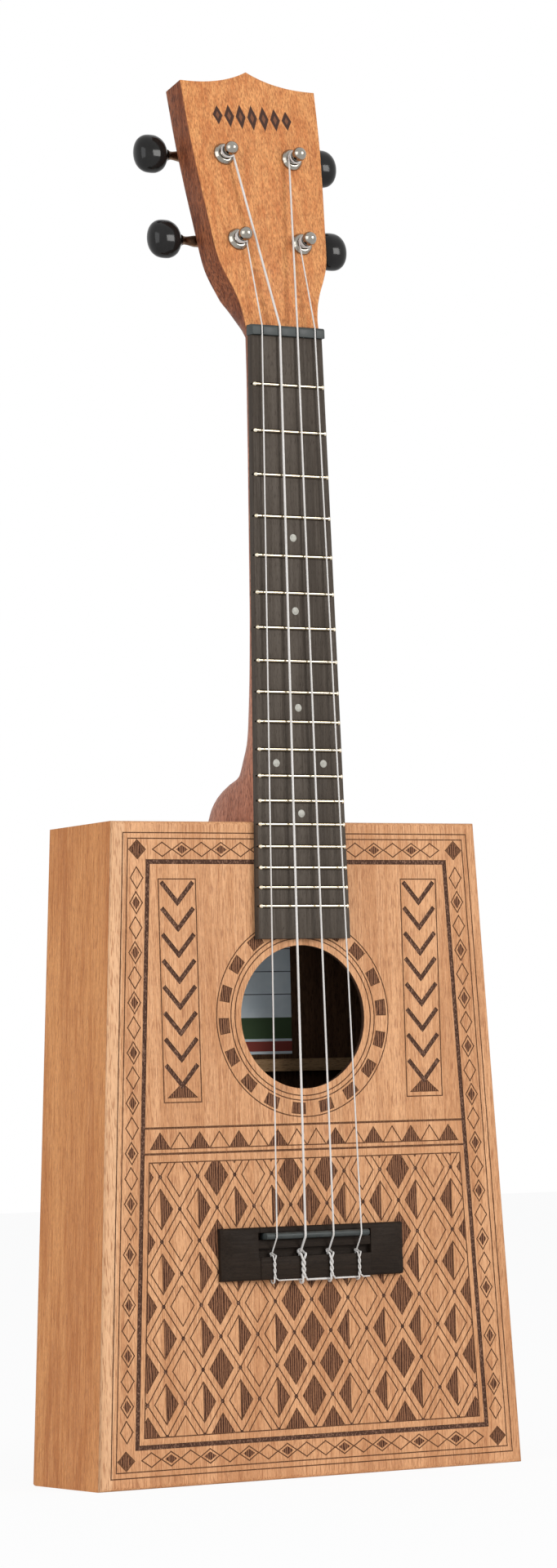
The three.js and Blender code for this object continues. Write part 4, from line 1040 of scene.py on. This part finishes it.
# Neck: sections of (share of the free neck, depth as a share of the box, fullness), then of the headstock
neckLook = {
    "free": 209.35, "deep": 57, "headLength": 119.7, "headWidth": 67.8, "headThickness": 14.2,
    "cornerRise": 113, "crestPull": 0.4, "crestDip": 0.1, "crestSteps": 16, "bore": 4.2,
    "sides": 44, "step": 2.5, "edge": 0.4, "tiltRise": 4.8,
    "sections": [
        (1, 0.934, 4.4), (0.983, 0.928, 4), (0.961, 0.911, 3.5), (0.938, 0.848, 3), (0.915, 0.65, 2.7),
        (0.907, 0.53, 2.5), (0.901, 0.501, 2.3), (0.874, 0.453, 2.05), (0.829, 0.335, 1.9), (0.758, 0.285, 1.75),
        (0.67, 0.25, 1.6), (0.545, 0.226, 1.5), (0.3, 0.22, 1.5), (0.1, 0.22, 1.55), (0, 0.224, 1.7),
    ],
    "headSections": [
        (0, 0.27, 2.2), (0.034, 0.274, 3), (0.067, 0.283, 4.5), (0.1, 0.296, 8), (0.15, 0.327, 30),
        (0.2, 0.367, 30), (0.25, 0.398, 30), (0.3, 0.414, 30), (0.38, 0.428, 30), (0.59, 0.464, 30),
        (0.75, 0.486, 30), (0.94, 0.5, 30), (1.03, 0.505, 30),
    ],
}
fingerboardEdge = [c.co for c in frame["nodes"]["fingerboard"].data.vertices]
fingerboardFoot = max(c.x for c in fingerboardEdge if c.z < fingerboardLow.z + mm) / mm
fingerboardTop = max(c.x for c in fingerboardEdge if c.z > fingerboardHigh.z - mm) / mm
fingerboardRun = (fingerboardHigh.z - fingerboardLow.z) / mm


def neckRing(look, origin, tilt, half, depth, power, edge):
    into = Vector((0, math.cos(tilt), -math.sin(tilt)))
    rounding = [(half - edge, 0), (half - edge * 0.3, edge * 0.3), (half, edge)]
    points = list(rounding)
    for k in range(1, look["sides"]):
        turn = math.pi * k / look["sides"]
        side = half * math.copysign(abs(math.cos(turn)) ** (2 / max(power, 2)), math.cos(turn))
        points.append((side, max(depth * math.sin(turn) ** (2 / power), edge)))
    points += [(-side, deep) for side, deep in reversed(rounding)]
    return [(origin + into * deep + Vector((side, 0, 0))) * mm for side, deep in points]


def makeNeck(look):
    nutFront = nutLow.z / mm
    front = frontY / mm
    rings = []
    rows = [(look["free"] * share, look["deep"] * deep, math.log(power)) for share, deep, power in look["sections"]]
    for drop, deep, power in smoothRows(rows, look["step"]):
        half = fingerboardTop + (fingerboardFoot - fingerboardTop) * drop / fingerboardRun
        rings.append(neckRing(look, Vector((0, front, nutFront - drop)), 0, half, deep, math.exp(power), 0.02))
    rows = [(look["headLength"] * share, look["headWidth"] * half, math.log(power))
            for share, half, power in look["headSections"]]
    base = headPlace.translation / mm
    up = headPlace.to_3x3() @ Vector((0, 0, 1))
    angle = math.asin(up.y)
    for rise, half, power in smoothRows(rows, look["step"]):
        tilt = angle * min(1, 0.5 + rise / look["tiltRise"] / 2)
        edge = min(look["edge"], 0.02 + rise / 10)
        rings.append(neckRing(look, base + up * rise, tilt, half, look["headThickness"], math.exp(power), edge))
    skin = Skin()
    skin.loft(rings, "neckWood")
    body = skin.mesh("neck_carved")

    corner = look["headWidth"] / 2
    reach = look["headWidth"]
    dip = look["cornerRise"] - (look["headLength"] - look["cornerRise"]) * look["crestDip"]
    crest = []
    for k in range(look["crestSteps"] + 1):
        t = k / look["crestSteps"]
        x = (1 - t) ** 2 * corner + 2 * t * (1 - t) * corner * look["crestPull"]
        z = (1 - t) ** 2 * look["cornerRise"] + 2 * t * (1 - t) * dip + t * t * look["headLength"]
        crest.append((x, z))
    above = look["headLength"] + reach
    outline = [(reach, above), (reach, look["cornerRise"]), *crest]
    outline += [(-x, z) for x, z in reversed(outline[:-1])]
    cutter = Skin(headPlace)
    cutter.prism(outline, -5, look["headThickness"] + 5, "neckWood")
    tools = [cutter.mesh("crestCutter")]
    for n in stringLetters:
        tools.append(rod(look["bore"], -5, look["headThickness"] + 5, "neckWood", place=postPlace[n]))
    mesh = carved(body, *tools)
    markSharp(mesh, 30)
    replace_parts(addPiece("neck_carved", mesh, "instrument"), "neck")


makeNeck(neckLook)
softened("fingerboard", "fingerboard_eased", 0.25, lambda p: p.y < fingerboardLow.y + mm)
softened("nut", "nut_eased", 0.25)
print("neck made")

# Frets: round crowns, pressed flat on the fingerboard, with a ball at each end
fretLook = {"radius": 0.95, "ball": 1, "inset": 1.05, "seat": 0.08, "sides": 20, "ballSteps": 7}


def makeFrets(look):
    lines, ends = [], []
    outwards = Matrix.Rotation(math.pi / 2, 4, "X")
    for node in frets:
        low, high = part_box(node)
        middle = (low.z + high.z) / 2 / mm
        line = [Vector((x, fingerboardLow.y / mm, middle))
                for x in (low.x / mm + look["inset"], high.x / mm - look["inset"])]
        lines.append([(point, look["radius"]) for point in line])
        ends += [Matrix.Translation(point * mm) @ outwards for point in line]
    mesh = tubes("fret_crowns", lines, "fretMetal", look["sides"], fingerboardLow.y + look["seat"] * mm)
    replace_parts(addPiece("fret_crowns", mesh, "instrument"), *frets)
    turns = [math.pi / 2 * k / look["ballSteps"] for k in range(look["ballSteps"] + 1)]
    ball = Skin()
    profile = [(0, -look["seat"]), (look["ball"], -look["seat"])]
    ball.turned(profile + [(look["ball"] * math.cos(t), look["ball"] * math.sin(t)) for t in turns], "fretEnd", 20, 2)
    mesh = copies("fret_ends", ball.mesh("ball"), ends, "fretEnd")
    addPiece("fret_ends", mesh, "instrument")


makeFrets(fretLook)

# Position dots, each by its distance down from the nut and its place across
dotLook = {"radius": 1.65, "proud": 0.04, "places": ((87.3, 0), (118.9, 0), (160.6, 0), (184.5, -11.7),
                                                     (184.5, 11.7), (206, 0))}


def makeDots(look):
    skin = Skin()
    radius = look["radius"]
    skin.turned([(0, -0.3), (radius, -0.3), (radius, 0), (radius * 0.9, look["proud"]), (0, look["proud"])],
                "pearlDot", 28, 2)
    outwards = Matrix.Rotation(math.pi / 2, 4, "X")
    places = []
    for drop, across in look["places"]:
        spot = Vector((across * mm, fingerboardLow.y, nutLow.z - drop * mm))
        places.append(Matrix.Translation(spot) @ outwards)
    addPiece("position_dots", copies("position_dots", skin.mesh("dot"), places, "pearlDot"), "instrument")


makeDots(dotLook)
print("frets and dots made")

# Bridge, with a scoop at the end of each wing, and saddle
scoopLook = {"reach": 4.6, "radius": 21.7, "slope": 2.3, "spare": 1.2, "deep": 2.4, "wing": 3.8, "lower": 1.5}


def makeBridge(look):
    eased = softened("bridge", "bridge_eased", 0.22, lambda p: p.y < frontY - 0.5 * mm)
    middle = (bridgeLow.z + bridgeHigh.z) / 2 - look["lower"] * mm
    wide, narrow = look["radius"] + look["spare"], look["radius"] - look["slope"] * look["deep"]
    rise = -look["spare"] / look["slope"]
    tools = []
    for side, end in ((-1, bridgeLow.x), (1, bridgeHigh.x)):
        across = end + side * (look["radius"] - look["reach"]) * mm
        scoop = Skin(Matrix.Translation((across, frontY - look["wing"] * mm, middle)))
        profile = [(0, -3), (wide, -3), (wide, rise), (narrow, look["deep"]), (0, look["deep"])]
        scoop.turned(profile, "bridgeWood", 96)
        tools.append(scoop.mesh("scoop"))
    eased.data = carved(eased.data, *tools)
    markSharp(eased.data, 25)


makeBridge(scoopLook)
softened("saddle", "saddle_eased", 0.3, lambda p: abs(p.x) > saddleHigh.x - mm)

# Strings, in millimetres: wound on their posts, over nut and saddle, and tied at the bridge
stringLook = {
    "diameters": {"g": 0.62, "c": 1, "e": 0.84, "a": 0.66},
    "nutSpacing": 8.84, "saddleSpacing": 13.95, "nutHeight": 1.1, "rest": 0.03, "step": 0.3, "sides": 12,
    "drum": 2.3, "flange": 2.1, "windingTop": 4.4, "holeTurn": math.radians(45), "holeRise": 6.55, "stepsPerTurn": 40,
    "tieHoleRise": 2.5, "tieFront": 12.6, "twistTurns": 1.5, "twistShares": (0.93, 0.1), "twistSteps": 30,
    "rearBulge": 0.8, "loopShare": 1.3, "loopDeep": 1.05, "loopOpening": 0.12, "tailRise": 3.9, "tailEnd": 27,
}


def across(n, spacing):
    return (stringLetters.index(n) - (len(stringLetters) - 1) / 2) * stringLook[spacing]


def windingSpot(n, reach, turn, height):
    centre = headPlace.inverted() @ postPlace[n].translation / mm
    place = Vector((centre.x + reach * math.cos(turn), -height, centre.z + reach * math.sin(turn)))
    return headPlace @ (place * mm) / mm


def windingLine(n, look):
    # Down the turns on the drum to where the string leaves for the nut
    centre = headPlace.inverted() @ postPlace[n].translation / mm
    side = outward[n]
    radius = look["diameters"][n] / 2
    around = look["drum"] + look["rest"] + radius
    lowest = look["flange"] + look["rest"] + radius
    room = look["windingTop"] - lowest
    away = Vector((across(n, "nutSpacing") - centre.x, -centre.z))
    leave = math.atan2(away.y, away.x) - side * math.acos(around / away.length)
    start = side * (leave - look["holeTurn"]) / (2 * math.pi)
    turns = start + math.floor(room / (2 * radius) - start)
    steps = round(turns * look["stepsPerTurn"])
    points = []
    for k in range(steps, -1, -1):
        share = k / steps
        points.append(windingSpot(n, around, leave - side * 2 * math.pi * turns * share, lowest + room * share))
    return points


def endLine(n, look):
    # The string's end, out of the hole in the post and down on the topmost turn
    side = outward[n]
    turn = look["holeTurn"]
    rise = look["holeRise"]
    low = look["windingTop"] + look["diameters"][n] + 0.15
    places = [(0.6, 0, rise), (3.3, 0, rise - 0.05), (3.7, 0.1, (rise + low) / 2 + 0.2), (3.45, 0.3, low + 0.1),
              (3.1, 0.6, low)]
    return [windingSpot(n, reach, turn - side * further, height) for reach, further, height in places]


def tieLine(n, look):
    # Through the block, back over its top, round the string, twisted to the rear edge and along it
    diameter = look["diameters"][n]
    radius = diameter / 2
    apart = radius + look["rest"]
    blockFront = bridgeHigh.z / mm - look["tieFront"]
    blockLength = blockFront - bridgeLow.z / mm
    thickness = (frontY - bridgeLow.y) / mm
    middle = across(n, "saddleSpacing")

    def place(side, down, rise):
        return Vector((middle + side, frontY / mm - rise, blockFront - down))

    pairRise = thickness + look["rest"] + radius + apart
    rearTurn = (pairRise - look["tieHoleRise"]) / 2
    points = [place(0, 0, look["tieHoleRise"]), place(0, blockLength - rearTurn / 2, look["tieHoleRise"])]
    for k in range(8):
        turn = math.pi * k / 8
        bulge = blockLength + radius + rearTurn * look["rearBulge"] * math.sin(turn)
        points.append(place(-apart * k / 8, bulge, look["tieHoleRise"] + rearTurn * (1 - math.cos(turn))))

    def strand(share, sign):
        turn = math.pi * (1 + 2 * look["twistTurns"] * share)
        start, end = look["twistShares"]
        down = blockLength * (start + (end - start) * share)
        return place(sign * apart * math.cos(turn), down, pairRise + sign * apart * math.sin(turn))

    steps = look["twistSteps"]
    points += [strand(k / steps, 1) for k in range(steps + 1)]
    loop = diameter * look["loopShare"]
    deep = loop * look["loopDeep"]
    saddleRise = (frontY - saddleLow.y) / mm + look["rest"] + radius
    descent = (saddleRise - look["tieHoleRise"]) / ((saddleLow.z + saddleHigh.z) / 2 / mm - blockFront)
    underString = look["tieHoleRise"] + descent * (deep + loop) - diameter * 1.05 * math.hypot(1, descent)
    for k in range(15):
        turn = math.pi * (-look["loopOpening"] + (1 + 2 * look["loopOpening"]) * k / 14)
        dip = math.sqrt(max(0, math.sin(math.pi * k / 14)))
        rise = pairRise + (underString - pairRise) * dip
        points.append(place(loop * math.cos(turn), -loop - deep * math.sin(turn), rise))
    points += [strand(k / steps, -1) for k in range(steps, -1, -1)]
    rear = blockLength + radius + look["rest"]
    last = n == stringLetters[-1]
    reach = look["tailEnd"] - middle if last else look["saddleSpacing"] + 1.2
    points.append(place(apart + 0.7, blockLength - radius, pairRise - apart))
    points.append(place(apart + 1.8, rear, thickness - radius * 0.3))
    points.append(place(apart + 3.2, rear, look["tailRise"]))
    points.append(place(reach, rear, look["tailRise"]))
    return points


def stringLine(n, look):
    radius = look["diameters"][n] / 2
    nutX = across(n, "nutSpacing")
    nutY = fingerboardLow.y / mm - look["nutHeight"] - radius
    saddleX = across(n, "saddleSpacing")
    saddleY = saddleLow.y / mm - look["rest"] - radius
    saddleZ = (saddleLow.z + saddleHigh.z) / 2 / mm
    return windingLine(n, look) + [
        Vector((nutX, nutY + 0.08, nutHigh.z / mm)), Vector((nutX, nutY, (nutLow.z + nutHigh.z) / 2 / mm)),
        Vector((nutX, nutY, nutLow.z / mm)), Vector((saddleX, saddleY, saddleZ + 0.7)),
        Vector((saddleX, saddleY + 0.17, saddleZ - 0.7)),
    ] + tieLine(n, look)


def makeStrings(look):
    lines = []
    for n in stringLetters:
        radius = look["diameters"][n] / 2
        lines.append([(point, radius) for point in flowing(stringLine(n, look), look["step"])])
    made = addPiece("strings", tubes("strings", lines, "nylon", look["sides"]), "instrument")
    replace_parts(made, *[f"string_{n}" for n in stringLetters])
    for n in stringLetters:
        radius = look["diameters"][n] / 2
        line = [(point, radius) for point in flowing(endLine(n, look), look["step"])]
        mesh = tubes(f"string_end_{n}", [line], "nylon", look["sides"])
        addPiece(f"string_end_{n}", mesh, f"string_post_{n}")


makeStrings(stringLook)
print("strings made")

# Tuners, in millimetres in the frame of each post or worm shaft
tunerLook = {
    "bushing": [(3.05, -2.1), (3.5, -2.1), (3.9, -1.98), (4.2, -1.72), (4.4, -1.3), (4.72, -0.98), (4.92, -0.6),
                (5, -0.1), (3.9, -0.1), (3.9, 9), (3.05, 9), (3.05, -2.1)],
    "ball": 3.1, "ballRise": 6.75, "ballSteps": 18, "waist": 2.3, "holeRadius": 0.75, "holeRise": 6.55,
    "holeTurn": math.radians(45),
    "stem": [(2.3, -2.1), (2.75, -1.65), (2.75, 15.5), (2.6, 15.55), (2.6, 16.9),
             (2.9, 16.9), (3.2, 17.15), (3.2, 19.65), (2.9, 19.9), (2.5, 19.95), (0, 20)],
    "teeth": 14, "toothFoot": (0.415, 3.05), "toothTip": (0.166, 4.05), "toothLean": 0.051, "gear": (16.9, 19.9),
    "plateWidth": 13.6, "plateLength": 33, "plateShift": 3, "plateDepths": (14.3, 15.2), "plateRound": 3.2,
    "plateEase": 0.25, "plateBore": 3.05, "plateScrew": 13,
    "ears": (4.75, 5.85), "earHalf": 3.1, "earTop": 21.15, "earMiddle": 5.8, "earBore": 1.95, "earDepth": 18.4,
    "shaft": [(0, -6.7), (1.4, -6.7), (1.65, -6.5), (1.65, -4.45), (1.6, -4.35), (1.6, 4.35), (1.65, 4.45),
              (1.65, 6.15), (2.3, 6.15), (2.5, 6.35), (2.5, 11), (2.4, 11.6), (2.25, 12.4), (2.1, 13.2), (1.95, 14),
              (1.85, 14.8), (1.8, 15.7), (1.95, 16.5), (2.4, 17.3), (2.55, 17.7), (1.6, 18), (1.6, 26.1), (0, 26.1)],
    "thread": {"pitch": 1.6605, "reach": 3.62, "phase": 0.75, "radius": 2, "thickness": 0.45, "steps": 24},
    "buttonReach": 33.2, "buttonLength": 15.6, "buttonRadius": 8.6, "buttonFlat": 0.76,
    "button": [(0, 0.31), (0.026, 0.35), (0.07, 0.45), (0.11, 0.57), (0.155, 0.71), (0.22, 0.83), (0.285, 0.905),
               (0.35, 0.955), (0.42, 0.99), (0.53, 1), (0.63, 0.99), (0.72, 0.955), (0.8, 0.885), (0.87, 0.78),
               (0.925, 0.64), (0.965, 0.47), (0.99, 0.27), (1, 0)],
    "screw": {"radius": 1.5, "height": 0.65, "slot": 0.34, "steps": 6},
}


def screwMesh(look):
    # A domed head with a cross cut in it, facing up its own z
    skin = Skin()
    turns = [math.pi / 2 * k / look["steps"] for k in range(look["steps"] + 1)]
    dome = [(look["radius"] * math.sin(t), look["height"] * math.cos(t)) for t in turns]
    skin.turned(dome + [(look["radius"], -0.2), (0, -0.2)], "nickel", 18, 2)
    tools = []
    for wide, tall in ((look["slot"], look["radius"] * 1.3), (look["radius"] * 1.3, look["slot"])):
        bar = Skin()
        low, high = look["height"] * 0.35, look["height"] * 2
        corners = [(-wide / 2, -tall / 2), (wide / 2, -tall / 2), (wide / 2, tall / 2), (-wide / 2, tall / 2)]
        bar.loft([[(x * mm, y * mm, z * mm) for x, y in corners] for z in (low, high)], "nickel", False)
        tools.append(bar.mesh("slot"))
    return carved(skin.mesh("screw"), *tools)


def roundedBox(wide, tall, round, middle, steps=6):
    points = []
    for k, (a, b) in enumerate(((1, 1), (-1, 1), (-1, -1), (1, -1))):
        for j in range(steps + 1):
            turn = math.pi / 2 * (k + j / steps)
            points.append((a * (wide / 2 - round) + round * math.cos(turn),
                           middle + b * (tall / 2 - round) + round * math.sin(turn)))
    return points


def makeBushing(n, look):
    skin = Skin(postPlace[n])
    skin.turned(look["bushing"], "nickel")
    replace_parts(skin.piece(f"bushing_{n}_turned", "instrument", 35), f"bushing_{n}")


def makePost(n, look):
    ball, waist = look["ball"], look["waist"]
    reach = math.pi - math.asin(waist / ball)
    turns = [reach * k / look["ballSteps"] for k in range(look["ballSteps"] + 1)]
    profile = [(ball * math.sin(t), -look["ballRise"] - ball * math.cos(t)) for t in turns] + look["stem"]
    skin = Skin(postPlace[n])
    skin.turned(profile, "nickel")
    turn = Matrix.Rotation(-look["holeTurn"], 4, "Y")
    drill = Skin(postPlace[n] @ Matrix.Translation((0, -look["holeRise"] * mm, 0)) @ turn)
    # Painted shade: the hole through the post is lined near black
    drill.turned([(0, -4), (look["holeRadius"], -4), (look["holeRadius"], 4), (0, 4)], "darkHole", 24, 0)
    mesh = carved(skin.mesh("post"), drill.mesh("drill"))
    markSharp(mesh, 35)
    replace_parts(addPiece(f"post_{n}_turned", mesh, f"string_post_{n}"), f"post_{n}")
    tooth = Skin()
    rings = []
    for face, depth in zip((-1, 1), look["gear"]):
        ring = []
        for sign, (half, radius) in ((-1, look["toothFoot"]), (-1, look["toothTip"]), (1, look["toothTip"]),
                                     (1, look["toothFoot"])):
            turn = sign * half / radius + face * look["toothLean"]
            ring.append((radius * math.sin(turn) * mm, depth * mm, radius * math.cos(turn) * mm))
        rings.append(ring)
    tooth.loft(rings, "nickel", False)
    turns = [2 * math.pi * k / look["teeth"] for k in range(look["teeth"])]
    places = [postPlace[n] @ Matrix.Rotation(turn, 4, "Y") for turn in turns]
    teeth = copies(f"gear_{n}_teeth", tooth.mesh("tooth"), places, "nickel")
    addPiece(f"gear_{n}_teeth", teeth, f"string_post_{n}")


def makePlate(n, look):
    low, high = look["plateDepths"]
    skin = Skin(postPlace[n])
    outline = roundedBox(look["plateWidth"], look["plateLength"], look["plateRound"], look["plateShift"])
    skin.prism(outline, low, high, "nickel", inset=look["plateEase"])
    bored = carved(skin.mesh("plate"), rod(look["plateBore"], low - 2, high + 2, "nickel", place=postPlace[n]))
    markSharp(bored, 35)
    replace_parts(addPiece(f"tuner_plate_{n}_pressed", bored, "instrument"), f"tuner_plate_{n}")
    half, top, middle = look["earHalf"], look["earTop"], look["earMiddle"]
    arch = [(high - 0.3, middle - half), (high - 0.3, middle + half)]
    turns = [math.pi / 2 - math.pi * k / 16 for k in range(17)]
    arch += [(top - half + half * math.cos(t), middle + half * math.sin(t)) for t in turns]
    ears = Skin(postPlace[n])
    near, far = look["ears"]
    for start, end in ((near, far), (-near, -far)):
        ears.prism(arch, start, end, "nickel", 0)
    shaftPlace = postPlace[n] @ Matrix.Translation((0, look["earDepth"] * mm, middle * mm))
    # Painted shade: the bore through the ears is lined near black
    bored = carved(ears.mesh("ears"), rod(look["earBore"], -9, 9, "darkHole", 0, place=shaftPlace))
    markSharp(bored, 35)
    addPiece(f"tuner_ears_{n}", bored, "instrument")


def makeKnob(n, look):
    side = outward[n]
    skin = Skin(knobPlace[n])
    skin.turned([(radius, side * along) for radius, along in look["shaft"]], "bronze", 32, 0)
    shaft = skin.piece(f"worm_shaft_{n}_turned", f"knob_{n}", 35)
    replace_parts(shaft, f"worm_shaft_{n}")
    thread = look["thread"]
    steps = round(thread["steps"] * 2 * thread["reach"] / thread["pitch"])
    points = []
    for k in range(steps + 1):
        along = thread["reach"] * (2 * k / steps - 1)
        turn = 2 * math.pi * (along / thread["pitch"] - thread["phase"])
        spot = Vector((along, thread["radius"] * math.cos(turn), thread["radius"] * math.sin(turn)))
        ease = min(1, 0.3 + 8 * min(k, steps - k) / steps)
        points.append((knobPlace[n] @ (spot * mm) / mm, thread["thickness"] * ease))
    worm = tubes(f"worm_thread_{n}", [points], "bronze", 10)
    addPiece(f"worm_thread_{n}", worm, f"knob_{n}")
    inner = look["buttonReach"] - look["buttonLength"]
    profile = [(0, side * inner)]
    for share, radius in smoothRows(look["button"], 0.04):
        profile.append((max(0, radius) * look["buttonRadius"], side * (inner + look["buttonLength"] * share)))
    skin = Skin(knobPlace[n])
    skin.turned(profile, "blackPlastic", 56, 0, look["buttonFlat"])
    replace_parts(skin.piece(f"button_{n}_moulded", f"knob_{n}", 50), f"button_{n}")


def makeScrews(look):
    screw = screwMesh(look["screw"])
    back = Matrix.Rotation(-math.pi / 2, 4, "X")
    places = []
    for n in stringLetters:
        for end in (-1, 1):
            spot = (0, look["plateDepths"][1] * mm, (look["plateShift"] + end * look["plateScrew"]) * mm)
            places.append(postPlace[n] @ Matrix.Translation(spot) @ back)
        gear = [postPlace[n] @ Matrix.Translation((0, look["stem"][-1][1] * mm, 0)) @ back]
        made = copies(f"gear_screw_{n}", screw.copy(), gear, "nickel")
        addPiece(f"gear_screw_{n}", made, f"string_post_{n}")
    addPiece("plate_screws", copies("plate_screws", screw, places, "nickel"), "instrument")


for letter in stringLetters:
    makeBushing(letter, tunerLook)
    makePost(letter, tunerLook)
    makePlate(letter, tunerLook)
    makeKnob(letter, tunerLook)
makeScrews(tunerLook)
print("tuners made")

# Floor, backdrop and lights
stage = {
    "floorSize": 12, "floorColour": (0.86, 0.86, 0.86), "whiteShare": 0.93,
    "world": (0.93, 0.95, 1), "worldStrength": 0.5,
    "lights": {
        "key": {"place": (1.5, -3.2, 1.3), "size": 1.6, "power": 82, "colour": (1, 0.985, 0.96)},
        "fill": {"place": (-2.6, -0.9, 1), "size": 2.2, "power": 40, "colour": (0.97, 0.985, 1)},
    },
    "aim": (0, 0, 0.3),
}


def makeFloor(look):
    # White where the camera sees it, with the object's shadow kept
    shader = Shader("floor")
    plain = shader.node("BsdfDiffuse", sockets={"Color": look["floorColour"]})
    white = shader.node("Emission", sockets={"Color": (1, 1, 1), "Strength": 1.0})
    shader.end(shader.node("MixShader", sockets={0: shader.seen() * look["whiteShare"], 1: plain, 2: white}))
    size = look["floorSize"] / 2
    mesh = bpy.data.meshes.new("floor")
    mesh.from_pydata([(-size, -size, 0), (size, -size, 0), (size, size, 0), (-size, size, 0)], [], [(0, 1, 2, 3)])
    mesh.materials.append(shader.owner)
    floor = bpy.data.objects.new("floor", mesh)
    bpy.context.scene.collection.objects.link(floor)


def makeWorld(look):
    world = bpy.data.worlds.new("softWhite")
    bpy.context.scene.world = world
    shader = Shader("softWhite", world)
    plain = shader.node("Background", sockets={0: look["world"], 1: look["worldStrength"]})
    white = shader.node("Background", sockets={0: (1, 1, 1), 1: 1})
    shader.end(shader.node("MixShader", sockets={0: shader.seen(), 1: plain, 2: white}))


def makeLights(look):
    for name, light in look["lights"].items():
        data = bpy.data.lights.new(name, "AREA")
        data.size = light["size"]
        data.energy = light["power"]
        data.color = light["colour"]
        lamp = bpy.data.objects.new(name, data)
        lamp.location = light["place"]
        lamp.rotation_mode = "QUATERNION"
        lamp.rotation_quaternion = (Vector(look["aim"]) - Vector(light["place"])).to_track_quat("-Z", "Y")
        bpy.context.scene.collection.objects.link(lamp)


makeFloor(stage)
makeWorld(stage)
makeLights(stage)
bpy.context.scene.view_settings.view_transform = "Standard"
